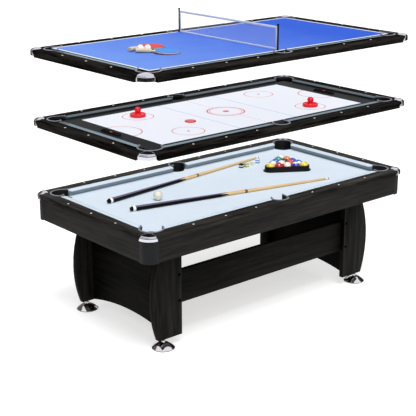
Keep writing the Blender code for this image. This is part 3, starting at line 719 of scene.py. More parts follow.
pearl = grained("pearl", ("#e9e6df", "#ffffff"), (160, 2), (0.22, 0.12), Coat_Weight=0.6,
                Coat_Roughness=0.1)
sight_radius, sight_rise, sight_sunk = 0.0062, 0.0009, 0.0008
sight_x, sight_y, end_sights, side_sights = 1.030, 0.535, (-0.235, 0, 0.235), (0.235, 0.470, 0.710)
sight = [(0, -sight_sunk), (sight_radius, -sight_sunk)] + crown(sight_radius, sight_rise, 0, 6)
spots = [(x_sign * sight_x, y) for x_sign in ends.values() for y in end_sights]
spots += [(x_sign * x, y_sign * sight_y) for x_sign, y_sign in corners.values()
          for x in side_sights]
for level, (body, top) in levels.items():
    places = [((x, y, top), (0, 0, 0)) for x, y in spots]
    mount(repeat(f"{level}_sights", turned(sight, 24), places, pearl), body, "ivory_resin")


# The cushions: rubber noses glued to the rails and wrapped in cloth, with slanted ends
# that open the pockets. The pool ones are paler than those of the two lifted tops.
cushion_width, corner_run, side_run, facing_clear = 0.045, 0.029, -0.008, 0.0025


def cushion_cloth(name, shade, deep, light, face, far_side_shade, nose_share):
    """The cushion's cloth: pale on top, with painted shade on the face under its nose, and
    painted shade along the far side and the right end."""
    finish, tone = cloth(name, shade, deep, light)
    x, y, height = finish.axes()
    # Painted shade: darker where y is past 0.30 or x past 0.92, along the far side and the right
    # end.
    away = y.above(0.30, 0.05).most(x.above(0.92, 0.01))
    tone = finish.mix(away * 0.9, tone, far_side_shade)
    upper = 0
    for low, top in cushion_heights.values():
        upper = height.band(top + 0.0098 - 0.0078 * nose_share, 0.0078, 0.0026 * nose_share) + upper
    # Below the top band the cloth takes the face colour: painted shade under the nose.
    finish.set({"Base Color": finish.mix(upper, face, tone)})
    return finish


cushion_heights = {"pool": (bed_top + gap, levels["pool"][1] - 0.002),
                   "hockey": (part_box("hockey_board")[1].z + gap, levels["hockey"][1] - 0.002),
                   "tennis": (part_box("tennis_frame")[0].z + 0.0035,
                              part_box("tennis_board")[0].z - gap)}
# The fourth colour is the painted shade of the face under the nose, the fifth the painted shade of
# the far side.
pool_cloth = cushion_cloth("pool_cushion_cloth", "#d3e0ec", "#c6d6e4", "#dbe8f3", "#84919a",
                           "#cfdce9", 0.9)
top_cloth = cushion_cloth("lifted_cushion_cloth", "#7f9099", "#72848e", "#8b9ca5", "#3b444b",
                          "#596167", 0.45)


def cushion_section(low, top):
    """Section of a cushion: (distance in from the rail, height)."""
    fall = (top - low) / 0.0357
    return [(0.0003, low), (0.0003, top - 0.0010), (0.0014, top + 0.0003), (0.008, top + 0.0009),
            (0.020, top + 0.0009), (0.032, top + 0.0002), (0.039, top - 0.0010),
            (0.0425, top - 0.0026), (0.0444, top - 0.0050), (0.0450, top - 0.0078 * min(fall, 1)),
            (0.0446, top - 0.0106 * min(fall, 1)), (0.0430, top - 0.0140 * min(fall, 1)),
            (0.045 - 0.016 * fall, low + 0.0030), (0.045 - 0.018 * fall, low)]


def with_strip(section, wide):
    """A cushion's section with the raised strip that fills up to the edge of the blue board."""
    low, top = section[0][1], section[1][1] + 0.0010
    return ([(0.0003, low), (0.0003, top + 0.0070), (0.0012, top + 0.0080),
             (wide - 0.0012, top + 0.0080), (wide, top + 0.0070), (wide, top)] + section[6:])


tennis_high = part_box("tennis_board")[1]
reach = pocket_radius + liner_wall + gap
corner_gap = math.sqrt(reach ** 2 - pocket_inset ** 2) + facing_clear
side_back = side_radius + liner_wall + gap + facing_clear
for level, (low, top) in cushion_heights.items():
    side_section = end_section = cushion_section(low, top)
    body = levels[level][0]
    covering = pool_cloth if level == "pool" else top_cloth
    if level == "tennis":
        side_section = with_strip(side_section, rail_y - tennis_high.y - 2 * gap)
        end_section = with_strip(end_section, rail_x - tennis_high.x - 2 * gap)
    runs = {f"{side}_{end}": [[(x_sign * (back - run * deep / cushion_width),
                                y_sign * (rail_y - deep), z) for deep, z in side_section]
                              for back, run in ((side_back, side_run),
                                                (pocket_x - corner_gap, corner_run))]
            for (side, end), (x_sign, y_sign) in corners.items()}
    for end, x_sign in ends.items():
        runs[end] = [[(x_sign * (rail_x - deep),
                       y_sign * (pocket_y - corner_gap - corner_run * deep / cushion_width), z)
                      for deep, z in end_section] for y_sign in (-1, 1)]
    for place, loops in runs.items():
        cushion = ease(piece(f"{level}_cushion_{place}", skin(loops), covering), 0.0012, 3, 50)
        mount(cushion, body, "cushion_cloth", node_of(level, f"cushion_{place}"))


# The pocket liners: black rubber cups with a raised rim, its crest painted grey as a painted
# highlight, dropped into the rails from above. Their walls end in a bead on each side of the mouth.
liner_rubber = Finish("liner_rubber", {"Specular IOR Level": 0.4})
scuff_and_highlight = liner_rubber.noise(120, 4)
heights = liner_rubber.axes()[2]
# The rim's crest is painted grey: a painted highlight. The noise also varies the rubber's
# roughness.
rim_highlight = 0
for level, (body, top) in levels.items():
    rim_highlight = heights.band(top + 0.0065, 0.0060, 0.0016) + rim_highlight
liner_rubber.set({"Base Color": liner_rubber.mix(rim_highlight * 0.9, "#0d0e0f", liner_rubber.mix(
    scuff_and_highlight, "#666a72", "#9698a3")), "Roughness": 0.46 + scuff_and_highlight * 0.20})
liner_rubber.bump(scuff_and_highlight, 0.15)


def pocket_shape(x, y, radius, turn, top, wall_low, cup):
    """The rim and wall behind a pocket's mouth, its two end beads, and the cup if it has one."""
    outer, lip, ear_rise = radius + liner_wall - 0.0002, 0.0076, 0.0055
    section = [(radius, wall_low), (radius, top + 0.0018), (radius + 0.0010, top + 0.0029),
               (radius + 0.0030, top + 0.0033), (radius + 0.0056, top + 0.0030),
               (radius + liner_wall + lip - 0.0006, top + 0.0016),
               (radius + liner_wall + lip, top + gap), (outer, top + gap), (outer, wall_low)]
    mouth = math.radians(68)
    turns = [turn + mouth + (math.tau - 2 * mouth) * step / 56 for step in range(57)]
    lifts = [ear_rise * max(abs(step - 28) / 28 - 0.78, 0) / 0.22 for step in range(57)]
    shape = skin([[(x + r * math.cos(t), y + r * math.sin(t), z + (lift if z > top else 0))
                   for r, z in section] for t, lift in zip(turns, lifts)])
    bead_radius, middle, ear_top = 0.0050, radius + 0.0032, top + ear_rise + 0.0010
    for t in (turns[0], turns[-1]):
        bead = turned([(0, wall_low), (bead_radius, wall_low)]
                      + crown(bead_radius, 0.0045, ear_top, 4), 16)
        bmesh.ops.translate(bead, verts=bead.verts,
                            vec=(x + middle * math.cos(t), y + middle * math.sin(t), 0))
        join(shape, bead)
    if cup:
        low, high = cup
        side = outer - 0.0002
        bowl = turned([(0, low), (side - 0.005, low), (side - 0.0015, low + 0.0015),
                       (side, low + 0.005), (side, high), (radius, high), (radius, low + 0.008),
                       (radius - 0.0015, low + 0.0045), (radius - 0.005, low + 0.003),
                       (0, low + 0.003)], 56)
        bmesh.ops.translate(bowl, verts=bowl.verts, vec=(x, y, 0))
        join(shape, bowl)
    return shape


walls = {"pool": (bed_top + 0.0004, (bed_top - 0.073, bed_top - 0.0004)),
         "hockey": (cushion_heights["hockey"][0], None),
         "tennis": (cushion_heights["tennis"][0] + 0.028,
                    (cushion_heights["tennis"][0], cushion_heights["tennis"][0] + 0.0276))}
for level, (body, top) in levels.items():
    wall_low, cup = walls[level]
    for (end, side), (x, y, radius, turn) in pockets.items():
        liner = piece(f"{level}_{side}_{end}_pocket",
                      pocket_shape(x, y, radius, turn, top, wall_low, cup), liner_rubber)
        mount(liner, body, "liner_plastic", node_of(level, f"pocket_{side}_{end}"))


# The plates: black hardboard sheets let in under the upper frame's six pockets, and black
# plugs that lie on the hockey board inside its pockets, behind the cushions' noses. Both are
# painted shade: dark sheets where the hollows of the pockets lie in shade.
shade_hardboard = grained("shade_hardboard", ("#040404", "#0d0d0c"), (300, 4, 0.65), (0.7, 0.2), 0.2,
                    Specular_IOR_Level=0)
plate_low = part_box("tennis_frame")[0].z + gap
plate_x, plate_y, plate_thick, plug_thick = rail_x - 2 * gap, rail_y - 2 * gap, 0.0028, 0.0010
corner_sheet_leg, plate_half, plate_nose = 0.21, 0.1, 0.07
corner_sheet = [(plate_x, plate_y), (plate_x, plate_y - corner_sheet_leg), (plate_x - corner_sheet_leg, plate_y)]
bridge = [(-plate_half, plate_y), (-plate_nose, plate_y - plate_nose),
          (plate_nose, plate_y - plate_nose), (plate_half, plate_y)]
plates = [mirrored(corner_sheet, x_sign, y_sign) for x_sign in ends.values()
          for y_sign in sides.values()] + [mirrored(bridge, 1, y_sign) for y_sign in sides.values()]
# Painted shade: black sheets under the upper frame's pockets.
for number, outline in enumerate(plates, 1):
    mount(prism(f"tennis_plate_{number}", outline, plate_low, plate_low + plate_thick, shade_hardboard),
          "tennis_top", "black_plastic")
plug_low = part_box("hockey_board")[1].z + gap
# Painted shade: black plugs in the hockey board's pockets.
for (end, side), (x, y, radius, turn) in pockets.items():
    shy = math.radians(26 if end == "middle" else 45)
    outline = arc((x, y), radius - 0.0008, turn + shy, turn + math.tau - shy, 48)
    mount(prism(f"hockey_plug_{side}_{end}", outline + [(x, y)] * (end != "middle"), plug_low,
                plug_low + plug_thick, shade_hardboard), "hockey_top", "black_plastic")


# The corner caps: domed chromed shells over the outer corners of all three levels, held
# by a screw from below. Each one's hood reaches in towards its pocket.
cap_chrome = chrome_finish("cap_chrome", "#cfced8")
cap_rounding, cap_turn, cap_proud, cap_crown = 0.018, math.radians(60), 0.0006, 0.0078
cap_inset = cap_rounding * (1 - math.cos(cap_turn))
cap_shoulder = cap_proud + cap_rounding * (1 - math.sin(cap_turn))
# The hood is highest a little short of its inner edge.
peak_short = 0.013
cap_peak = (cap_reach - peak_short) / math.sqrt(2)


def to_circle(start, toward, centre, radius):
    """How far a circle round a centre lies from a point inside it, in one direction."""
    back = (start - centre).dot(toward)
    return math.sqrt(back ** 2 - (start - centre).length_squared + radius ** 2) - back


def cap_loop(inset, rise, share):
    """One loop of a cap for the far right corner, drawn in and then towards its middle."""
    middle = Vector((half_length - cap_peak, half_width - cap_peak))
    turn = Vector((half_length - corner_round, half_width - corner_round))
    centre, radius = cap_edge(rise)
    loop = []
    for step in range(120):
        toward = Vector((math.cos(step / 120 * math.tau), math.sin(step / 120 * math.tau)))
        far = to_circle(middle, toward, turn, corner_round - inset)
        if min(middle + far * toward - turn) < 0:
            far = (cap_peak - inset) / max(*toward, 0.01)
        far = share * min(far, to_circle(middle, toward, Vector(centre), radius))
        loop.append((*(middle + far * toward), rise + cap_crown * (1 - share ** 2)))
    return loop


lifted_side = 0.034
for level, (body, top) in levels.items():
    layers = [(0, -cap_side if level == "pool" else -lifted_side, 1)]
    layers += [(cap_rounding * (1 - math.cos(t)), cap_shoulder - cap_rounding * (1 - math.sin(t)),
                1) for t in (cap_turn * step / 8 for step in range(9))]
    layers += [(cap_inset, cap_proud, share)
               for share in (0.93, 0.85, 0.75, 0.63, 0.49, 0.33, 0.15)]
    shell = [cap_loop(*layer) for layer in layers]
    for (side, end), (x_sign, y_sign) in corners.items():
        loops = [[(x_sign * x, y_sign * y, top + z) for x, y, z in loop] for loop in shell]
        mount(piece(f"{level}_{side}_{end}_cap", skin(loops), cap_chrome, 40), body, "chrome",
              node_of(level, f"corner_cap_{side}_{end}"))


# The hockey board: a white melamine sheet with printed lines, let in under the cushions,
# with a charcoal border and a thin black trim strip round the white.
hockey_low, hockey_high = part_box("hockey_board")
white_x, white_y = 0.815, 0.392
rink = Finish("rink_print", {"Specular IOR Level": 0.06})
x, y, z = rink.axes()
grain = rink.noise(60, 4)


def distance(x_part, y_part):
    return (x_part * x_part + y_part * y_part).root()


spot = distance(abs(x) - 0.500, abs(y) - 0.240)
middle = distance(x, y)
crease = distance(abs(x) - white_x, y)
red = spot.band(0.095, 0.0024).most(spot.band(0, 0.010)).most(middle.band(0.116, 0.0044))
red = red.most(middle.band(0.101, 0.0018)).most(middle.band(0, 0.021))
red = red.most(crease.band(0.130, 0.0030))
dash = (y * (math.tau / 0.030)).wave().above(0.0, 0.3)
red = red.most(x.band(0, 0.0022) * dash * middle.above(0.121))
blue = abs(x).band(0.225, 0.0034)
sheet = rink.mix(grain, "#e9edf8", "#f2f5fd")
sheet = rink.mix(blue * 0.85, sheet, "#9cc2ee")
sheet = rink.mix(red * 0.95, sheet, "#dc2a26")
border = abs(x).above(white_x).most(abs(y).above(white_y)).most(1 - z.above(hockey_high.z - 0.0008))
sheet = rink.mix(border, sheet, rink.mix(grain, "#1c1d1f", "#262729"))
rink.set({"Base Color": sheet, "Roughness": 0.34 + border * 0.2 + grain * 0.08})
rink.bump(grain, 0.04)
dress("hockey_board", rink)


# The ledge: a frame of bare board glued under the hockey board to carry it, notched round
# the pool table's pocket rims, which stand in it when the tops are stacked.
def border_ring(half_x, half_y, section):
    """A rectangular ring of one section: (distance out from its sides, height)."""
    return skin([[(sx * (half_x + out), sy * (half_y + out), z) for sx, sy in square]
                 for out, z in section], True)


ledge_deep, ledge_high, ledge_thick, ledge_notch = 0.030, hockey_low.z - gap, 0.0154, 0.014
ledge_low = ledge_high - ledge_thick
ledge = piece("hockey_ledge", border_ring(rail_x, rail_y, (
    (-gap, ledge_low), (-gap, ledge_high), (-ledge_deep, ledge_high), (-ledge_deep, ledge_low))),
    raw_board)
cutters = pocket_cutters(ledge_notch, ledge_high, ledge_high).values()
cut(ledge, cutters)
for cutter in cutters:
    bpy.data.objects.remove(cutter)
mount(ease(ledge, 0.0008), "hockey_top", "black_wood")


# The trim: a thin strip of black plastic glued down flat on the hockey board, where its
# white print meets the charcoal border. Its upper edges are eased.
black_plastic = grained("black_plastic", ("#0a0a0b", "#141416"), (500, 2), (0.34, 0.18), 0.10,
                        Specular_IOR_Level=0.14)
trim_low, trim_high = hockey_high.z + 0.0001, hockey_high.z + 0.0012
trim_half, trim_ease = 0.0017, 0.0004
trim = border_ring(white_x, white_y, (
    (-trim_half, trim_low), (-trim_half, trim_high - trim_ease),
    (-trim_half + trim_ease, trim_high), (trim_half - trim_ease, trim_high),
    (trim_half, trim_high - trim_ease), (trim_half, trim_low)))
mount(piece("rink_trim", trim, black_plastic), "hockey_top", "black_plastic")


# The scorers: an open black frame at each end of the rink, with a steel rod along it and
# a red barrel bead that the players slide.
red_plastic = grained("red_plastic", ("#dc0f1e", "#ee1a29"), (45, 3), (0.20, 0.12),
                      Coat_Weight=0.12, Coat_Roughness=0.08, Specular_IOR_Level=0.35)
red_plastic.bump(red_plastic.noise(260, 2), 0.03)
scorer_half_x, scorer_half_y, scorer_corner = 0.0095, 0.0805, 0.0045
rod_radius, rod_half, rod_high, bead_high = 0.0013, 0.0830, 0.006, 0.0062
level_turn = Matrix.Rotation(math.pi / 2, 4, "X")
for end in ends:
    low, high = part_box(f"score_bead_{end}")
    x, foot = (low.x + high.x) / 2, hockey_high.z + gap
    rings = []
    for out, z in ((0, 0), (0, 0.0105), (0.001, 0.0125), (0.003, 0.0125), (0.004, 0.0105),
                   (0.004, 0)):
        outline = []
        for turn, (sx, sy) in enumerate(((1, 1), (-1, 1), (-1, -1), (1, -1))):
            outline += arc((x + sx * scorer_half_x, sy * scorer_half_y), scorer_corner - out,
                           turn * math.pi / 2, (turn + 1) * math.pi / 2, 4)
        rings.append([(px, py, foot + z) for px, py in outline])
    scorer = skin(rings, True)
    rod = turned([(0, -rod_half), (rod_radius, -rod_half), (rod_radius, rod_half), (0, rod_half)],
                 12)
    bmesh.ops.transform(rod, verts=rod.verts,
                        matrix=Matrix.Translation((x, 0, foot + rod_high)) @ level_turn)
    join(scorer, rod)
    mount(piece(f"{end}_scorer", scorer, black_plastic), "hockey_top", "black_plastic")
    barrel = [(0.0017, -0.0108), (0.0046, -0.0108), (0.0052, -0.0100)]
    barrel += [(0.0052 + 0.0008 * math.cos(t * math.pi / 2), 0.0090 * t) for t in
               (-1, -0.6, -0.2, 0.2, 0.6, 1)]
    barrel += [(0.0052, 0.0100), (0.0046, 0.0108), (0.0017, 0.0108), (0.0017, -0.0108)]
    bead = piece(f"{end}_score_bead", turned(barrel, 28), red_plastic)
    bead.data.transform(Matrix.Translation((x, 0, foot + bead_high)) @ level_turn)
    mount(bead, f"bead_{end}", "red_plastic", f"score_bead_{end}")


# The pushers and the puck: glossy red mouldings that slide on the rink, the pushers with
# a raised rim, a dished floor and a round knob on a waisted neck, felted underneath.
knob = [(0.0200 * math.cos(t), 0.0400 + 0.0200 * math.sin(t))
        for t in (math.radians(turn) for turn in range(-36, 90, 9))]
pusher = [(0, 0), (0.0450, 0), (0.0472, 0.0008), (0.0483, 0.0030), (0.0485, 0.0060),
          (0.0485, 0.0150), (0.0482, 0.0174), (0.0470, 0.0188), (0.0452, 0.0190),
          (0.0432, 0.0184), (0.0400, 0.0150), (0.0360, 0.0120), (0.0300, 0.0111),
          (0.0240, 0.0112), (0.0198, 0.0124), (0.0172, 0.0160), (0.0158, 0.0210),
          (0.0156, 0.0250)] + knob + [(0, 0.0600)]
for end in ends:
    node = f"mallet_{end}"
    mount(stand(piece(f"{end}_pusher", turned(pusher, 64), red_plastic, 50), node), node,
          "red_plastic", node)
disc = [(0, 0.0004), (0.024, 0.0004), (0.026, 0), (0.0325, 0), (0.0336, 0.0006), (0.034, 0.0018),
        (0.034, 0.0042), (0.0336, 0.0054), (0.0325, 0.0060), (0.0262, 0.0060), (0.0252, 0.0052),
        (0, 0.0052)]
mount(stand(piece("red_puck", turned(disc, 64), red_plastic), "puck"), "puck", "red_plastic",
      "puck")


# The table tennis board: a satin blue painted board with a white line round its edge,
# lying on the cushions of the upper frame. Its blue is painted lighter towards the left end: a
# painted sheen.
court = Finish("court_paint", {"Specular IOR Level": 0.05})
x, y, z = court.axes()
peel = court.noise(420, 2)
cloud = court.noise(5, 3)
line_wide = 0.0140
edge_line = abs(x).above(tennis_high.x - line_wide).most(abs(y).above(tennis_high.y - line_wide))
# The blue grows lighter as x falls: painted sheen, with a cloudy tone over it.
paint = court.mix(0.42 - x * 0.62 + (cloud - 0.5) * 0.3 + (peel - 0.5) * 0.2, "#1f55cc",
                  "#6a90e4")
paint = court.mix(edge_line, paint, "#eef2fb")
paint = court.mix(z.above(tennis_high.z - 0.0008), "#22242a", paint)
court.set({"Base Color": paint, "Roughness": 0.48 + peel * 0.15})
court.bump(peel, 0.06)
dress("tennis_board", court)


# The net: a fine mesh of white thread laced between a taped top, bottom and two hems, and
# stretched between black posts that clamp to the board. The threads are Geometry Nodes.
net_low, net_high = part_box("net")
post_profile = [(0, 0), (0.0076, 0), (0.0080, 0.0006), (0.0080, 0.0052), (0.0074, 0.0060),
                (0.0050, 0.0066), (0.0050, 0.1412), (0.0062, 0.1420), (0.0065, 0.1430),
                (0.0065, 0.1500), (0.0058, 0.1516), (0, 0.1520)]
for side in sides:
    node = f"net_post_{side}"
    mount(stand(piece(f"{side}_net_post", turned(post_profile, 32), black_plastic), node),
          "net_set", "black_plastic", node)

net_tree, given = node_tree("netting", "Threads", Start="Vector", Width="Float", Height="Float",
                            Pitch="Float", Thread="Float", Finish="Material")


def net_sum(operation, *terms):
    return link_up(net_tree, "ShaderNodeMath", {"operation": operation}, dict(enumerate(terms)))


def net_point(x=0.0, y=0.0, z=0.0):
    return link_up(net_tree, "ShaderNodeCombineXYZ", (), {0: x, 1: y, 2: z})


place = link_up(net_tree, "GeometryNodeInputPosition")
place_y, place_z = (link_up(net_tree, "ShaderNodeSeparateXYZ", (), {0: place}, axis)
                    for axis in ("Y", "Z"))
beat = net_sum("DIVIDE", net_sum("ADD", place_y, place_z), given["Pitch"])
weave = net_sum("MULTIPLY", net_sum("COSINE", net_sum("MULTIPLY", beat, math.pi)),
                net_sum("MULTIPLY", given["Thread"], 0.5))
sets = []
level_step, upright_step = net_point(y=given["Pitch"]), net_point(z=given["Pitch"])
for sign, *ways in ((1.0, ("Width", level_step), ("Height", upright_step)),
                    (-1.0, ("Height", upright_step), ("Width", level_step))):
    one, row = (link_up(net_tree, "GeometryNodeMeshLine", (), {
        "Count": net_sum("ADD", net_sum("FLOOR", net_sum("DIVIDE", given[span], given["Pitch"])),
                         1.0),
        "Start Location": (0, 0, 0), "Offset": offset}) for span, offset in ways)
    one = link_up(net_tree, "GeometryNodeMeshToCurve", (), {0: one})
    many = link_up(net_tree, "GeometryNodeInstanceOnPoints", (), {"Points": row, "Instance": one})
    many = link_up(net_tree, "GeometryNodeRealizeInstances", (), {0: many})
    sets.append(link_up(net_tree, "GeometryNodeSetPosition", (), {
        "Geometry": many, "Offset": net_point(x=net_sum("MULTIPLY", weave, sign))}))
threads = net_tree.nodes.new("GeometryNodeJoinGeometry")
for one in sets:
    net_tree.links.new(one, threads.inputs[0])
round_thread = link_up(net_tree, "GeometryNodeCurvePrimitiveCircle", (), {
    "Resolution": 3, "Radius": net_sum("MULTIPLY", given["Thread"], 0.5)})
threads = link_up(net_tree, "GeometryNodeCurveToMesh", (), {
    "Curve": threads.outputs[0], "Profile Curve": round_thread, "Fill Caps": True})
threads = link_up(net_tree, "GeometryNodeTransform", (), {"Geometry": threads,
                                                         "Translation": given["Start"]})
threads = link_up(net_tree, "GeometryNodeRealizeInstances", (), {0: threads})
threads = link_up(net_tree, "GeometryNodeSetMaterial", (), {"Geometry": threads,
                                                            "Material": given["Finish"]})
link_up(net_tree, "NodeGroupOutput", (), {0: threads})

thread_cord = grained("net_thread", ("#dfe2ea", "#ffffff"), (1800, 2), (0.80, 0))
tape_web = Finish("net_tape", {"Roughness": 0.85})
ribs = tape_web.axes(tape_web.where((3200, 3200, 3200)))
weft = (ribs[1].wave() + ribs[2].wave()) * 0.25 + 0.5
tape_web.set({"Base Color": tape_web.mix(weft, "#eceef4", "#ffffff")})
tape_web.bump(weft, 0.35, 0.0002)
pitch, hem, top_tape, low_tape = 0.0060, 0.0102, 0.014, 0.0102
reach, foot, head = net_high.y - hem / 2, net_low.z + low_tape / 2, net_high.z - top_tape / 2
threads = grow(add("net_threads", bpy.data.meshes.new("net_threads")), net_tree, {
    "Start": (0.0, -reach, foot), "Width": 2 * reach, "Height": head - foot, "Pitch": pitch,
    "Thread": 0.00050, "Finish": thread_cord.material})
mount(threads, "net_set", "net_cord", "net")
half_thick, whole_width = 0.0014, (net_low.y, net_high.y)
between_tapes = (net_low.z + low_tape, net_high.z - top_tape)
for name, y_range, z_range in (
        ("net_top_tape", whole_width, (net_high.z - top_tape, net_high.z)),
        ("net_low_tape", whole_width, (net_low.z, net_low.z + low_tape)),
        ("net_near_hem", (net_low.y, net_low.y + hem), between_tapes),
        ("net_far_hem", (net_high.y - hem, net_high.y), between_tapes)):
    outline = [(x * half_thick, z) for x, z in (
        (-1, z_range[0] + 0.0008), (-0.6, z_range[0]), (0.6, z_range[0]), (1, z_range[0] + 0.0008),
        (1, z_range[1] - 0.0008), (0.6, z_range[1]), (-0.6, z_range[1]), (-1, z_range[1] - 0.0008))]
    tape = piece(name, skin([[(x, y, z) for x, z in outline] for y in y_range]), tape_web, 60)
    mount(tape, "net_set", "net_cord", "net")


# The bats: a plywood blade between two rubbers, red over black and blue over red, with a
# pale flared wooden handle. They lie on the handle's front end and the blade's far edge.
def lay(thing, place):
    """Move a finished piece to its place, and keep its own axes for its grain."""
    own = thing.data.attributes.new("local", "FLOAT_VECTOR", "POINT")
    own.data.foreach_set("vector", [part for point in thing.data.vertices for part in point.co])
    thing.data.transform(place)
    return thing


def timber(name, pale, deep, along=(7, 130, 130)):
    """Pale lacquered wood with its grain drawn out along one of its own axes."""
    finish = Finish(name, {"Specular IOR Level": 0.35})
    grain = finish.noise(finish.own(along), 5)
    colour = finish.mix((grain - 0.3) * 2.2, pale, deep)
    finish.set({"Base Color": colour, "Roughness": 0.34 + grain * 0.2})
    finish.bump(grain, 0.10)
    return finish, colour


bat_wood = timber("bat_wood", "#e6d9bd", "#cdb58a")[0]
handle_end, blade_middle, blade_reach, blade_half = 0.094, 0.179, 0.079, 0.076
bat_slope = 0.006 / 0.164
bat_rest = 0.011 + bat_slope * handle_end


def blade_width(at):
    """Half the width of a blade at a place along it, faired into the handle."""
    share = max(0.0, 1 - ((at - blade_middle) / blade_reach) ** 2)
    neck = 0.0135 if at < blade_middle else 0.0
    return ((blade_half * math.sqrt(share)) ** 4 + neck ** 4) ** 0.25


def blade_loops(start, low, high, inset, rounding):
    tip = blade_middle + blade_reach - inset
    turns = [math.pi * step / 36 for step in range(36)]
    places = [start + (tip - start) * (1 - math.cos(t)) / 2 for t in turns] + [tip - 0.00002]
    loops = []
    for at in places:
        half = max(blade_width(at) - inset, 0.0012)
        cut_back = min(rounding, half / 2)
        loops.append([(at, y, z) for y, z in (
            (half, high - rounding), (half - cut_back, high), (cut_back - half, high),
            (-half, high - rounding), (-half, low + rounding), (cut_back - half, low),
            (half - cut_back, low), (half, low + rounding))])
    return loops


def handle_loops():
    """A rounded handle, flared at its butt and thinned where it meets the blade."""
    loops = []
    for at, half, deep in (
            (0, 0.0150, 0.0095), (0.0015, 0.0164, 0.0107), (0.006, 0.0166, 0.0110),
            (0.024, 0.0150, 0.0110), (0.047, 0.0138, 0.0110), (0.078, 0.0135, 0.0110),
            (0.086, 0.0135, 0.0100), (0.092, 0.0136, 0.0070), (0.098, 0.0140, 0.0032)):
        loops.append([(at, half * math.copysign(abs(math.cos(t)) ** 0.7, math.cos(t)),
                       deep * math.copysign(abs(math.sin(t)) ** 0.7, math.sin(t)))
                      for t in (math.tau * (step + 0.5) / 24 for step in range(24))])
    return loops


def rubber(name, deep, light):
    finish = Finish(name, {"Specular IOR Level": 0.25})
    pips = finish.noise(finish.own((900, 900, 900)), 2)
    finish.set({"Base Color": finish.mix(pips, deep, light),
                "Roughness": 0.42 + pips * 0.2})
    finish.bump(pips, 0.15)
    return finish


red_sheet = rubber("red_rubber", "#c5222c", "#d8323a")
blue_sheet = rubber("blue_rubber", "#1f7ad0", "#2f8ce2")
dark_sheet = rubber("dark_rubber", "#1a1617", "#262122")
bats = {"red": (-0.683, 0.066, 8.0, red_sheet, dark_sheet),
        "blue": (-0.674, 0.017, -41.5, blue_sheet, red_sheet)}
board_top = tennis_high.z
for colour, (x, y, turn, over, under) in bats.items():
    place = (Matrix.Translation((x, y, board_top + gap))
             @ Matrix.Rotation(math.radians(turn), 4, "Z")
             @ Matrix(((1, 0, 0, 0), (0, 1, 0, 0), (-bat_slope, 0, 1, bat_rest), (0, 0, 0, 1))))
    node, slot = f"paddle_{colour}", f"{colour}_rubber"
    for name, loops, finish in (
            ("blade", blade_loops(handle_end - 0.010, -0.0030, 0.0030, 0.0, 0.0008), bat_wood),
            ("handle", handle_loops(), bat_wood),
            ("upper_rubber", blade_loops(0.112, 0.0031, 0.0050, 0.0003, 0.0005), over),
            ("lower_rubber", blade_loops(0.112, -0.0050, -0.0031, 0.0003, 0.0005), under)):
        mount(lay(piece(f"{colour}_bat_{name}", skin(loops), finish, 40), place), node,
              "maple" if finish is bat_wood else slot, node)


# The table tennis balls: two matt white celluloid shells, each welded from two halves,
# that lie on the blue board between the handles of the bats.
celluloid = grained("celluloid", ("#f4f4f2", "#ffffff"), (200, 3), (0.42, 0.15),
                    Specular_IOR_Level=0.3)


def ball(radius, x, y, z):
    """A ball that lies on a height."""
    shape = bmesh.new()
    bmesh.ops.create_uvsphere(shape, u_segments=48, v_segments=24, radius=radius)
    bmesh.ops.translate(shape, verts=shape.verts, vec=(x, y, z + radius))
    return shape


tennis_ball_radius = 0.020
for name, x, y in (("left_tennis_ball", -0.632, 0.028), ("right_tennis_ball", -0.600, 0.0015)):
    mount(piece(name, ball(tennis_ball_radius, x, y, board_top + gap), celluloid, 180),
          "tennis_top", "ivory_resin")


# The cues: tapered maple with a lacquered butt that ends in spliced points, a white butt
# cap with a rubber bumper, a ringed brass joint, a white ferrule and a leather tip.
cue_length, cue_butt, cue_tip, bumper, joint_share = 1.410, 0.0156, 0.0065, 0.012, 0.552


def cue_finish(name, paint_share):
    finish, colour = timber(name, "#e9cfa0", "#c9a067", (170, 170, 5))
    x, y, z = finish.axes(finish.own())
    points = (x * x - y * y) / (x * x + y * y + 0.0000001)
    painted = 1 - z.above(paint_share * cue_length + abs(points) * 0.060 - 0.03, 0.002)
    # A painted highlight: a purple-grey stripe along the top of the black butt, broken by noise.
    highlight_wander = finish.noise(finish.own((40, 40, 4)), 3)
    shine = (x * (-1 / cue_butt)).above(0.60, 0.26) * (0.5 + highlight_wander * 0.5)
    colour = finish.mix(painted, colour, finish.mix(shine, "#07060a", "#77728f"))
    joint = joint_share * cue_length
    for low, high, shade in (
            (-1, 0.0030, "#0c0c0d"), (0.0030, 0.0200, "#f6f6f2"), (0.0200, 0.0225, "#8b8d92"),
            (joint - 0.010, joint + 0.006, "#141416"), (joint - 0.0015, joint + 0.0008, "#c9b27a"),
            (cue_length - 0.040, cue_length - 0.020, "#f4f2ea"),
            (cue_length - 0.020, cue_length, "#4b6c8c")):
        colour = finish.mix(z.band((low + high) / 2, (high - low) / 2, 0.0004), colour, shade)
    finish.set({"Base Color": colour, "Roughness": 0.42 - painted * 0.26, "Coat Roughness": 0.08,
                "Coat Weight": painted * 0.04, "Specular IOR Level": 0.08})
    return finish


def taper(at):
    return cue_butt + (cue_tip - cue_butt) * at / (cue_length - bumper)


